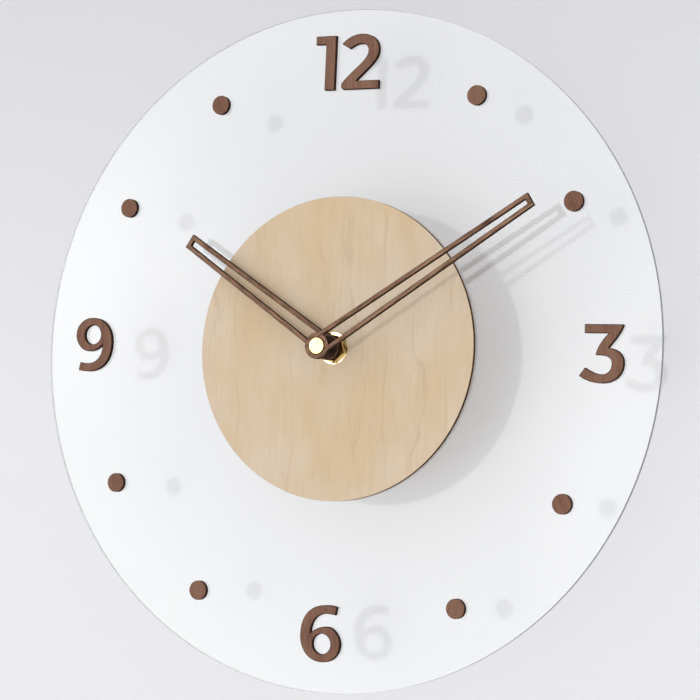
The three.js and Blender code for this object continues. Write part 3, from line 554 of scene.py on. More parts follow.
@dataclass
class ShapeTree:
    """A geometry tree with named inputs, whose result becomes a plain mesh."""

    name: str

    def __post_init__(self) -> None:
        """Makes the empty tree."""
        self.tree = bpy.data.node_groups.new(self.name, "GeometryNodeTree")
        self.tree.interface.new_socket(
            "Geometry", in_out="OUTPUT", socket_type="NodeSocketGeometry"
        )
        self.source = add(self.tree, "NodeGroupInput")
        self.values: dict[str, object] = {}

    def take(self, name: str, kind: Socket, value: object) -> bpy.types.NodeSocket:
        """Adds a named input.

        Args:
            name: What the input is.
            kind: What it holds.
            value: What the modifier sets it to.

        Returns:
            The socket that gives it inside the tree.
        """
        made = self.tree.interface.new_socket(name, in_out="INPUT", socket_type=kind.value)
        self.values[made.identifier] = value
        return self.source.outputs[name]

    def give(
        self,
        geometry: bpy.types.NodeSocket,
        forward: float,
        face: Finish,
        edge: Finish | None = None,
    ) -> bpy.types.Object:
        """Ends the tree and makes its result a plain mesh.

        Args:
            geometry: What the tree has drawn, with its own up along the hand axis.
            forward: Forward place of the drawing's zero level, in millimetres.
            face: The finish.
            edge: The finish of all that doesn't face the viewer or the wall, where it differs.

        Returns:
            The piece, named as the tree is.
        """
        upright = add(
            self.tree,
            "GeometryNodeTransform",
            {
                "Geometry": geometry,
                "Rotation": (math.pi / 2, 0, 0),
                "Translation": (0, -forward * MM, 0),
            },
        )
        plain = add(self.tree, "GeometryNodeRealizeInstances", {0: upright.outputs[0]})
        normal = add(self.tree, "GeometryNodeInputNormal")
        parts = add(self.tree, "ShaderNodeSeparateXYZ", {0: normal.outputs["Normal"]})
        facing = add(self.tree, "ShaderNodeMath", {0: parts.outputs["Y"]}, operation="ABSOLUTE")
        flat = add(
            self.tree,
            "FunctionNodeCompare",
            {0: facing.outputs[0], 1: FACING},
            data_type="FLOAT",
            operation="GREATER_THAN",
        )
        edge_material = self.take("Edge finish", Socket.MATERIAL, (edge or face).material())
        face_material = self.take("Face finish", Socket.MATERIAL, face.material())
        sides = add(
            self.tree, "GeometryNodeSetMaterial", {0: plain.outputs[0], "Material": edge_material}
        )
        faces = add(
            self.tree,
            "GeometryNodeSetMaterial",
            {0: sides.outputs[0], "Selection": flat.outputs[0], "Material": face_material},
        )
        add(self.tree, "NodeGroupOutput", {0: faces.outputs[0]})
        piece = stood(self.name, bpy.data.meshes.new(self.name))
        shape = piece.modifiers.new("shape", "NODES")
        shape.node_group = self.tree
        for identifier, value in self.values.items():
            shape[identifier] = value
        evaluated(piece)
        shaded(piece.data)
        return piece


# Finishes

GRAIN_TURN = "grain_turn"

# A noise mostly stays between these values
NOISE_LOW, NOISE_HIGH = 0.3, 0.7

# How many finer steps a noise has, from a smooth one to a rich one
SMOOTH, SOFT, PLAIN, RICH = 0.0, 1.0, 2.0, 3.0

# Across one growth line: nothing, then a slow darkening, a thin dark line and a sharp end
LINE_PROFILE = (
    (0.0, "#000000"),
    (0.6, "#000000"),
    (0.9, "#8C8C8C"),
    (0.95, "#FFFFFF"),
    (0.99, "#000000"),
)


@dataclass(frozen=True)
class Finish:
    """A surface, named for what it is and how it was made."""

    name: str

    def paint(
        self, tree: bpy.types.NodeTree, surface: bpy.types.Node, place: bpy.types.NodeSocket
    ) -> None:
        """Sets the shader and adds the nodes of this finish.

        Args:
            tree: The material's tree.
            surface: Its Principled shader.
            place: Object coordinates, in millimetres.
        """
        raise NotImplementedError

    def material(self) -> bpy.types.Material:
        """The material, made at its first use."""
        known = bpy.data.materials.get(self.name)
        if known is not None:
            return known
        made = bpy.data.materials.new(self.name)
        made.use_nodes = True
        tree = made.node_tree
        coordinates = add(tree, "ShaderNodeTexCoord")
        place = add(
            tree,
            "ShaderNodeVectorMath",
            {0: coordinates.outputs["Object"], "Scale": PER_MM},
            operation="SCALE",
        )
        self.paint(tree, tree.nodes["Principled BSDF"], place.outputs[0])
        return made


@dataclass(frozen=True)
class CastAcrylic(Finish):
    """Clear cast sheet: it hardly shows but for its rim and its gloss."""

    tint: str = "#FCFEFD"
    lets_through: str = "#FCFCFD"
    clearness: float = 1.0
    roughness: float = 0.0
    ior: float = 1.49
    wave: float = 60.0
    wave_depth: float = 0.05
    wave_strength: float = 0.1

    def paint(
        self, tree: bpy.types.NodeTree, surface: bpy.types.Node, place: bpy.types.NodeSocket
    ) -> None:
        """Clear gloss, with the faint waves of a cast sheet. Lamps shine through it."""
        waves = add(
            tree, "ShaderNodeTexNoise", {"Vector": place, "Scale": 1 / self.wave, "Detail": SMOOTH}
        )
        bump = add(
            tree,
            "ShaderNodeBump",
            {
                "Height": waves.outputs[0],
                "Strength": self.wave_strength,
                "Distance": self.wave_depth * MM,
            },
        )
        fill(
            tree,
            surface,
            {
                "Base Color": linear(self.tint),
                "Transmission Weight": self.clearness,
                "IOR": self.ior,
                "Roughness": self.roughness,
                "Normal": bump.outputs[0],
            },
        )
        path = add(tree, "ShaderNodeLightPath")
        past = add(
            tree,
            "ShaderNodeMath",
            {0: path.outputs["Is Shadow Ray"], 1: path.outputs["Is Diffuse Ray"]},
            operation="MAXIMUM",
        )
        clear = add(tree, "ShaderNodeBsdfTransparent", {"Color": linear(self.lets_through)})
        both = add(
            tree,
            "ShaderNodeMixShader",
            {0: past.outputs[0], 1: surface.outputs[0], 2: clear.outputs[0]},
        )
        fill(tree, tree.nodes["Material Output"], {"Surface": both.outputs[0]})


@dataclass(frozen=True)
class SandedWood(Finish):
    """Sanded bare wood: clouds of two tones, fine fibres, short pores and bent growth lines.

    Clouds, fibre, pore and line_patches are the width and the length of one streak, in millimetres.
    Their limits are the values of the noise between which each comes up, and a depth is the share
    of the dark tone where it is strongest. The bend moves the growth lines by its first value, in
    streaks of its other two. The heart is where the lines' arches have their middle.
    """

    pale: str
    warm: str
    dark: str
    clouds: Pair = (16.0, 34.0)
    cloud_limits: Pair = (0.38, 0.62)
    fibre: Pair = (1.6, 22.0)
    fibre_limits: Pair = (0.42, 0.72)
    fibre_depth: float = 0.1
    fibre_detail: float = 4.0
    fibre_relief: float = 0.03
    pore: Pair = (0.6, 3.2)
    pore_limits: Pair = (0.68, 0.74)
    pore_depth: float = 0.14
    relief_strength: float = 0.3
    line_spacing: float = 15.0
    line_depth: float = 0.34
    line_patches: Pair = (12.0, 26.0)
    patch_limits: Pair = (0.4, 0.62)
    bend: tuple[float, float, float] = (26.0, 15.0, 30.0)
    bend_detail: float = 1.2
    heart: Point = (-34.0, -75.0)
    heart_stretch: float = 0.134
    clockwise: float = 0.0
    own_turn: bool = False
    gloss: float = 0.2
    roughness: float = 0.55
    roughness_spread: Pair = (-0.08, 0.12)

    def streaks(
        self,
        tree: bpy.types.NodeTree,
        grain: bpy.types.NodeSocket,
        size: Sequence[float],
        detail: float,
    ) -> bpy.types.NodeSocket:
        """Noise drawn out along the grain.

        Args:
            tree: The material's tree.
            grain: Coordinates in millimetres with Z along the grain.
            size: The width and the length of one streak, in millimetres.
            detail: How many finer steps the noise has.

        Returns:
            The noise, around 0.5.
        """
        across, along = size
        drawn = add(
            tree,
            "ShaderNodeMapping",
            {"Vector": grain, "Scale": (1 / across, 1 / across, 1 / along)},
        )
        noise = add(
            tree, "ShaderNodeTexNoise", {"Vector": drawn.outputs[0], "Scale": 1.0, "Detail": detail}
        )
        return noise.outputs[0]

    def darkened(
        self,
        tree: bpy.types.NodeTree,
        colour: bpy.types.NodeSocket,
        mask: bpy.types.NodeSocket,
        limits: Pair,
        depth: float,
    ) -> bpy.types.NodeSocket:
        """Lays the dark tone over a colour, where a mask says.

        Args:
            tree: The material's tree.
            colour: The colour so far.
            mask: Where the dark tone goes.
            limits: The mask's values that give none of it and all of it.
            depth: The share of the dark tone where it is strongest.

        Returns:
            The darker colour.
        """
        share = add(
            tree,
            "ShaderNodeMapRange",
            {"Value": mask, "From Min": limits[0], "From Max": limits[1], "To Max": depth},
        )
        mixed = add(
            tree,
            "ShaderNodeMix",
            {0: share.outputs[0], MIX_A: colour, MIX_B: linear(self.dark)},
            data_type="RGBA",
        )
        return mixed.outputs[MIX_OUT]

    def paint(
        self, tree: bpy.types.NodeTree, surface: bpy.types.Node, place: bpy.types.NodeSocket
    ) -> None:
        """Grain along Z after a turn, growth lines as long arches round the heart."""
        turned = add(
            tree,
            "ShaderNodeVectorRotate",
            {"Vector": place, "Angle": -self.clockwise},
            rotation_type="Y_AXIS",
        )
        if self.own_turn:
            turn = add(tree, "ShaderNodeAttribute", attribute_name=GRAIN_TURN)
            fill(tree, turned, {"Angle": turn.outputs["Fac"]})
        grain = turned.outputs[0]

        low, high = self.cloud_limits
        tones = add(
            tree,
            "ShaderNodeMapRange",
            {
                "Value": self.streaks(tree, grain, self.clouds, RICH),
                "From Min": low,
                "From Max": high,
            },
        )
        ground = add(
            tree,
            "ShaderNodeMix",
            {0: tones.outputs[0], MIX_A: linear(self.pale), MIX_B: linear(self.warm)},
            data_type="RGBA",
        )
        fibres = self.streaks(tree, grain, self.fibre, self.fibre_detail)
        pores = self.streaks(tree, grain, self.pore, SOFT)
        colour = ground.outputs[MIX_OUT]
        colour = self.darkened(tree, colour, fibres, self.fibre_limits, self.fibre_depth)
        colour = self.darkened(tree, colour, pores, self.pore_limits, self.pore_depth)

        across, up = self.heart
        arches = add(
            tree,
            "ShaderNodeMapping",
            {
                "Vector": grain,
                "Location": (-across, 0, -up * self.heart_stretch),
                "Scale": (1, 0, self.heart_stretch),
            },
        )
        distance = add(tree, "ShaderNodeVectorMath", {0: arches.outputs[0]}, operation="LENGTH")
        reach, *size = self.bend
        bent = add(
            tree,
            "ShaderNodeMath",
            {
                0: self.streaks(tree, grain, size, self.bend_detail),
                1: reach,
                2: distance.outputs["Value"],
            },
            operation="MULTIPLY_ADD",
        )
        turns = add(
            tree, "ShaderNodeMath", {0: bent.outputs[0], 1: self.line_spacing}, operation="DIVIDE"
        )
        share = add(tree, "ShaderNodeMath", {0: turns.outputs[0]}, operation="FRACT")
        lines = add(tree, "ShaderNodeValToRGB", {0: share.outputs[0]}, stops=LINE_PROFILE)
        faded = self.streaks(tree, grain, self.line_patches, SOFT)
        low, high = self.patch_limits
        shown = add(tree, "ShaderNodeMapRange", {"Value": faded, "From Min": low, "From Max": high})
        drawn = add(
            tree, "ShaderNodeMath", {0: lines.outputs[0], 1: shown.outputs[0]}, operation="MULTIPLY"
        )
        colour = self.darkened(tree, colour, drawn.outputs[0], (0.0, 1.0), self.line_depth)
        rough = add(
            tree,
            "ShaderNodeMapRange",
            {
                "Value": fibres,
                "From Min": NOISE_LOW,
                "From Max": NOISE_HIGH,
                "To Min": self.roughness + self.roughness_spread[0],
                "To Max": self.roughness + self.roughness_spread[1],
            },
        )
        bump = add(
            tree,
            "ShaderNodeBump",
            {
                "Height": fibres,
                "Strength": self.relief_strength,
                "Distance": self.fibre_relief * MM,
            },
        )
        fill(
            tree,
            surface,
            {
                "Base Color": colour,
                "Specular IOR Level": self.gloss,
                "Roughness": rough.outputs[0],
                "Normal": bump.outputs[0],
            },
        )


@dataclass(frozen=True)
class LaserCutEdge(Finish):
    """Wood edge left by a laser: charred nearly black, browner where the beam pulsed."""

    char: str = "#241610"
    brown: str = "#4A3022"
    streak: float = 0.5
    streak_length: float = 3.3
    streak_limits: Pair = (0.4, 0.75)
    relief: float = 0.05
    relief_strength: float = 0.5
    gloss: float = 0.1
    roughness: float = 0.8

    def paint(
        self, tree: bpy.types.NodeTree, surface: bpy.types.Node, place: bpy.types.NodeSocket
    ) -> None:
        """Streaks through the thickness, drawn coarser because the real ones are too fine."""
        across, along = 1 / self.streak, 1 / self.streak_length
        drawn = add(tree, "ShaderNodeMapping", {"Vector": place, "Scale": (across, along, across)})
        streaks = add(
            tree, "ShaderNodeTexNoise", {"Vector": drawn.outputs[0], "Scale": 1.0, "Detail": RICH}
        )
        colour = add(
            tree,
            "ShaderNodeValToRGB",
            {0: streaks.outputs[0]},
            stops=tuple(zip(self.streak_limits, (self.char, self.brown))),
        )
        bump = add(
            tree,
            "ShaderNodeBump",
            {
                "Height": streaks.outputs[0],
                "Strength": self.relief_strength,
                "Distance": self.relief * MM,
            },
        )
        fill(
            tree,
            surface,
            {
                "Base Color": colour.outputs[0],
                "Roughness": self.roughness,
                "Specular IOR Level": self.gloss,
                "Normal": bump.outputs[0],
            },
        )


@dataclass(frozen=True)
class TurnedMetal(Finish):
    """Metal turned on a lathe: bright, with fine rings that spread its highlights."""

    colour: str
    shade: str
    roughness: float = 0.14
    roughness_spread: Pair = (0.7, 1.5)
    ring: float = 0.16
    ring_depth: float = 0.004
    ring_strength: float = 0.3
    patch: float = 2.5
    patch_limits: Pair = (0.35, 0.75)

    def paint(
        self, tree: bpy.types.NodeTree, surface: bpy.types.Node, place: bpy.types.NodeSocket
    ) -> None:
        """Rings about the hand axis, and slightly duller patches where fingers held it."""
        flat = add(tree, "ShaderNodeVectorMath", {0: place, 1: (1, 0, 1)}, operation="MULTIPLY")
        radius = add(tree, "ShaderNodeVectorMath", {0: flat.outputs[0]}, operation="LENGTH")
        rings = add(
            tree,
            "ShaderNodeTexNoise",
            {"W": radius.outputs["Value"], "Scale": 1 / self.ring, "Detail": RICH},
            noise_dimensions="1D",
        )
        patches = add(
            tree, "ShaderNodeTexNoise", {"Vector": place, "Scale": 1 / self.patch, "Detail": RICH}
        )
        colour = add(
            tree,
            "ShaderNodeValToRGB",
            {0: patches.outputs[0]},
            stops=tuple(zip(self.patch_limits, (self.colour, self.shade))),
        )
        rough = add(
            tree,
            "ShaderNodeMapRange",
            {
                "Value": patches.outputs[0],
                "From Min": NOISE_LOW,
                "From Max": NOISE_HIGH,
                "To Min": self.roughness * self.roughness_spread[0],
                "To Max": self.roughness * self.roughness_spread[1],
            },
        )
        bump = add(
            tree,
            "ShaderNodeBump",
            {
                "Height": rings.outputs[0],
                "Strength": self.ring_strength,
                "Distance": self.ring_depth * MM,
            },
        )
        fill(
            tree,
            surface,
            {
                "Base Color": colour.outputs[0],
                "Metallic": 1.0,
                "Roughness": rough.outputs[0],
                "Normal": bump.outputs[0],
            },
        )


@dataclass(frozen=True)
class Speckled(Finish):
    """A surface with an even grain: moulded, pressed, plated or sintered."""

    colour: str
    shade: str
    grain: float
    depth: float
    roughness: float
    metallic: float = 0.0
    gloss: float = 0.5
    coat: float = 0.0
    patch: float = 9.0
    shade_limits: Pair = (0.15, 0.4)
    relief_strength: float = 0.4
    roughness_spread: Pair = (0.85, 1.15)

    def paint(
        self, tree: bpy.types.NodeTree, surface: bpy.types.Node, place: bpy.types.NodeSocket
    ) -> None:
        """Grain of a real size in the colour, the roughness and the relief, over slow patches."""
        grain = add(
            tree, "ShaderNodeTexNoise", {"Vector": place, "Scale": 1 / self.grain, "Detail": PLAIN}
        )
        patches = add(
            tree, "ShaderNodeTexNoise", {"Vector": place, "Scale": 1 / self.patch, "Detail": RICH}
        )
        both = add(
            tree,
            "ShaderNodeMath",
            {0: grain.outputs[0], 1: patches.outputs[0]},
            operation="MULTIPLY",
        )
        colour = add(
            tree,
            "ShaderNodeValToRGB",
            {0: both.outputs[0]},
            stops=tuple(zip(self.shade_limits, (self.colour, self.shade))),
        )
        rough = add(
            tree,
            "ShaderNodeMapRange",
            {
                "Value": patches.outputs[0],
                "From Min": NOISE_LOW,
                "From Max": NOISE_HIGH,
                "To Min": self.roughness * self.roughness_spread[0],
                "To Max": self.roughness * self.roughness_spread[1],
            },
        )
        bump = add(
            tree,
            "ShaderNodeBump",
            {
                "Height": grain.outputs[0],
                "Strength": self.relief_strength,
                "Distance": self.depth * MM,
            },
        )
        fill(
            tree,
            surface,
            {
                "Base Color": colour.outputs[0],
                "Metallic": self.metallic,
                "Specular IOR Level": self.gloss,
                "Coat Weight": self.coat,
                "Roughness": rough.outputs[0],
                "Normal": bump.outputs[0],
            },
        )


@dataclass(frozen=True)
class ShrinkFilm(Finish):
    """Printed shrink film round a cell: two plain glossy colours with a thin line between them."""

    body: str = "#23282B"
    band: str = "#B98A4A"
    line: str = "#D9D4C8"
    band_end: float = -14.0
    ramp_reach: float = 10.0
    line_share: float = 0.04
    ripple: float = 3.0
    ripple_depth: float = 0.05
    ripple_strength: float = 0.3
    metallic: float = 0.3
    roughness: float = 0.28
    coat: float = 0.5

    def paint(
        self, tree: bpy.types.NodeTree, surface: bpy.types.Node, place: bpy.types.NodeSocket
    ) -> None:
        """Bands along X, with the faint ripple of shrunk film."""
        parts = add(tree, "ShaderNodeSeparateXYZ", {0: place})
        along = add(
            tree,
            "ShaderNodeMapRange",
            {
                "Value": parts.outputs["X"],
                "From Min": self.band_end - self.ramp_reach,
                "From Max": self.band_end + self.ramp_reach,
            },
        )
        colour = add(
            tree,
            "ShaderNodeValToRGB",
            {0: along.outputs[0]},
            stops=((0.0, self.band), (0.5, self.line), (0.5 + self.line_share, self.body)),
        )
        colour.color_ramp.interpolation = "CONSTANT"
        ripple = add(
            tree, "ShaderNodeTexNoise", {"Vector": place, "Scale": 1 / self.ripple, "Detail": PLAIN}
        )
        bump = add(
            tree,
            "ShaderNodeBump",
            {
                "Height": ripple.outputs[0],
                "Strength": self.ripple_strength,
                "Distance": self.ripple_depth * MM,
            },
        )
        fill(
            tree,
            surface,
            {
                "Base Color": colour.outputs[0],
                "Metallic": self.metallic,
                "Roughness": self.roughness,
                "Coat Weight": self.coat,
                "Normal": bump.outputs[0],
            },
        )


# Acrylic, cast as a clear sheet between glass plates: unseen but for the lamps that it mirrors
ACRYLIC = CastAcrylic("acrylic_cast_clear")

# The same acrylic, cut by laser: its rim is slightly frosted, so a thin grey line goes round the
# dial and a fainter one round it on the wall
CUT_ACRYLIC = CastAcrylic(
    "acrylic_laser_cut",
    tint="#A4AAAC",
    lets_through="#C4C8CA",
    clearness=0.5,
    roughness=0.25,
)

# Maple, sanded and left bare: cream with pinkish clouds and a few faint arched growth lines
MAPLE = SandedWood(
    "maple_sanded",
    pale="#D4BB98",
    warm="#DAC6AD",
    dark="#A57E58",
    clouds=(30.0, 46.0),
    fibre_depth=0.07,
    line_depth=0.25,
)

# Walnut, sanded and left bare: warm matt brown with long dark fibres and short open pores
WALNUT = SandedWood(
    "walnut_sanded",
    pale="#8A6551",
    warm="#7B5544",
    dark="#432B20",
    clouds=(9.0, 24.0),
    fibre=(0.5, 11.0),
    fibre_depth=0.5,
    pore=(0.32, 2.4),
    pore_depth=0.5,
    line_spacing=6.0,
    line_depth=0.4,
    bend=(4.0, 12.0, 30.0),
    heart=(-90.0, -300.0),
    gloss=0.1,
)
DOT_WALNUT = replace(WALNUT, name="walnut_sanded_dots", own_turn=True)

# The hands' walnut is cut along the grain, so its fibres show as streaks; they are drawn coarser
# than the real ones, which the eye would lose at this size
HAND_WALNUT = replace(
    WALNUT,
    name="walnut_sanded_hands",
    pale="#9E7B60",
    warm="#86624C",
    dark="#392319",
    fibre=(0.8, 6.0),
    fibre_depth=0.85,
)

# Walnut scorched beside the cut: a thin darker outline round each piece
SCORCHED = LaserCutEdge("walnut_face_scorched_beside_cut", char="#4B3226", brown="#6A4A3B")

# Walnut cut by laser: charred sides, nearly black and without any shine
CHARRED = LaserCutEdge("walnut_edge_laser_charred")

# Maple cut by a faster beam: a toasted brown rim
BROWNED = LaserCutEdge("maple_edge_laser_browned", char="#3A2617", brown="#7A5535")

# Brass, turned and polished: a clear yellow mirror with fine rings from the lathe
BRASS = TurnedMetal("brass_turned_polished", colour="#EFD694", shade="#D9BC78", roughness=0.08)

# Brass, faced and lacquered: the cap gives the room back as a warm white
PALE_BRASS = TurnedMetal("brass_faced_lacquered", colour="#EDD086", shade="#E4C379", roughness=0.1)

# Brass strip, rolled bright: the washer is paler still, white where it meets the light
BRIGHT_BRASS = TurnedMetal("brass_rolled_bright", colour="#F8ECCB", shade="#F0E0B8", roughness=0.07)

# Brass painted a dull olive: a painted shade on the nut's chamfers, back and bore, standing in
# for the dark reflections round the nut
PAINTED_SHADE_BRASS = TurnedMetal("brass_chamfer_painted_shade", colour="#8A6C38", shade="#5F4522", roughness=0.3)

# Brass, blackened: brown-black with a weak sheen, a finish such bushes have. It is also painted
# shade that keeps the minute bush dark in the shaded gap between the hubs, where bright brass shone
DARK_BRASS_PAINTED_SHADE = TurnedMetal("brass_blackened_painted_shade", colour="#402A1E", shade="#2E1E16", roughness=0.4)

# Steel, stamped and zinc plated: cool grey, half mirror, with the faint mottle of the plating
STEEL = Speckled(
    "steel_zinc_plated", "#C9CCCF", "#A9ADB2", grain=0.6, depth=0.01, roughness=0.32, metallic=1.0
)

# ABS, moulded in an etched tool: black with an even fine grain that softens its highlights
BLACK_ABS = Speckled(
    "abs_moulded_black", "#232325", "#17171A", grain=0.35, depth=0.03, roughness=0.5
)

# ABS from a polished tool: the knob is a little glossier than the case round it
KNOB_ABS = Speckled(
    "abs_moulded_black_polished", "#2E2E31", "#222225", grain=0.8, depth=0.01, roughness=0.3
)

# ABS, moulded in brown: matt, near the colour of the charred wood that it sits in. Its near-black
# brown is also painted shade for the dark gap behind the minute hand's hub
BROWN_ABS_PAINTED_SHADE = Speckled(
    "abs_moulded_brown_painted_shade", "#3C241A", "#2E1B13", grain=0.35, depth=0.02, roughness=0.6, gloss=0.12
)

# Acetal, moulded: milky white gears with a waxy half gloss
WHITE_ACETAL = Speckled(
    "acetal_moulded_white", "#EEEBE3", "#DEDACF", grain=0.5, depth=0.01, roughness=0.42
)

# The same in black, for the hour wheel, whose tube ends beside the hands: a colour such wheels
# have, and also painted shade that keeps the tube's end dark in the shaded gap between the hubs
BLACK_ACETAL_PAINTED_SHADE = Speckled(
    "acetal_moulded_black_painted_shade", "#1E1D1D", "#151414", grain=0.5, depth=0.01, roughness=0.5, gloss=0.2
)

# Rubber, pressed: dead black with no highlight
RUBBER = Speckled("rubber_pressed", "#26272A", "#17181A", grain=0.5, depth=0.03, roughness=0.85)

# Silicon iron, stamped: darker and duller grey than the plated steel
SILICON_IRON = Speckled(
    "silicon_iron_stamped",
    "#A4A6A9",
    "#808388",
    grain=0.8,
    depth=0.01,
    roughness=0.42,
    metallic=1.0,
)

# Copper wire under enamel: orange-brown metal with a clear gloss over it
COPPER = Speckled(
    "copper_enamelled_wire",
    "#C46A3A",
    "#9A4A25",
    grain=0.4,
    depth=0.01,
    roughness=0.3,
    metallic=1.0,
    coat=0.6,
)

# Phenolic laminate, pressed and lacquered: tan board with a paper-like mottle
LAMINATE = Speckled(
    "phenolic_laminate_pressed",
    "#B4884C",
    "#94693A",
    grain=0.4,
    depth=0.01,
    roughness=0.5,
    coat=0.2,
)

# Epoxy, cast as a drop: black and wet-looking
RESIN = Speckled("epoxy_resin_cast", "#17181A", "#0D0E10", grain=1.2, depth=0.05, roughness=0.18)

# Ferrite, sintered: dark grey and chalky
FERRITE = Speckled("ferrite_sintered", "#47474A", "#2E2E31", grain=0.25, depth=0.02, roughness=0.6)

# Shrink film on a cell: dark and coppery bands under a clear gloss, slightly rippled
CELL_FILM = ShrinkFilm("cell_film_shrunk")


# Sub-assemblies

# Glued pieces stand off the sheet by the thickness of their glue
GLUE = 0.02

# The threaded tube, and the play of what it goes through
THREAD_RADIUS = 3.9
BORE_PLAY = 0.05


@dataclass
class Dial:
    """The clear sheet and the maple disc glued to its middle."""

    segments: int = 288
    edge_steps: int = 3
    polished_edge: float = 0.12
    sanded_edge: float = 0.1

    def build(self) -> None:
        """Makes both discs."""
        sheet = self.disc("clear_dial", "dial_disc", self.polished_edge, 0.0, ACRYLIC, CUT_ACRYLIC)
        settle(sheet, Body.CLOCK, Slot.ACRYLIC, "dial_disc")
        wood = self.disc("maple_centre", "centre_disc", self.sanded_edge, GLUE, MAPLE, BROWNED)
        settle(wood, Body.CLOCK, Slot.MAPLE, "centre_disc")

    def disc(
        self, name: str, node: str, edge: float, off: float, face: Finish, rim: Finish | None = None
    ) -> bpy.types.Object:
        """Makes one disc: a rounded section swept round the hand axis.

        Args:
            name: The piece's name.
            node: The CAD node that it is made for.
            edge: Radius of its rounded edges.
            off: How far its back stands off what carries it.
            face: The finish of its faces.
            rim: The finish of its rim and bore, where it differs.

        Returns:
            The piece.
        """
        back, front = span(node)
        shape = ShapeTree(name)
        radius = shape.take("Radius", Socket.FLOAT, half_width(node) * MM)
        bore = shape.take("Bore", Socket.FLOAT, (THREAD_RADIUS + BORE_PLAY) * MM)
        thickness = shape.take("Thickness", Socket.FLOAT, (front - back - off) * MM)
        rounding = shape.take("Edge radius", Socket.FLOAT, edge * MM)
        segments = shape.take("Segments", Socket.INT, self.segments)
        tree = shape.tree
        width = add(tree, "ShaderNodeMath", {0: radius, 1: bore}, operation="SUBTRACT")
        middle = add(
            tree, "ShaderNodeMath", {0: width.outputs[0], 1: 0.5, 2: bore}, operation="MULTIPLY_ADD"
        )
        section = add(
            tree,
            "GeometryNodeCurvePrimitiveQuadrilateral",
            {"Width": width.outputs[0], "Height": thickness},
        )
        rounded_section = add(
            tree,
            "GeometryNodeFilletCurve",
            {"Curve": section.outputs[0], "Count": self.edge_steps, "Radius": rounding},
            mode="POLY",
        )
        path = add(
            tree,
            "GeometryNodeCurvePrimitiveCircle",
            {"Resolution": segments, "Radius": middle.outputs[0]},
        )
        swept = add(
            tree, "GeometryNodeCurveToMesh", {0: path.outputs[0], 1: rounded_section.outputs[0]}
        )
        return shape.give(swept.outputs[0], (back + off + front) / 2, face, rim)


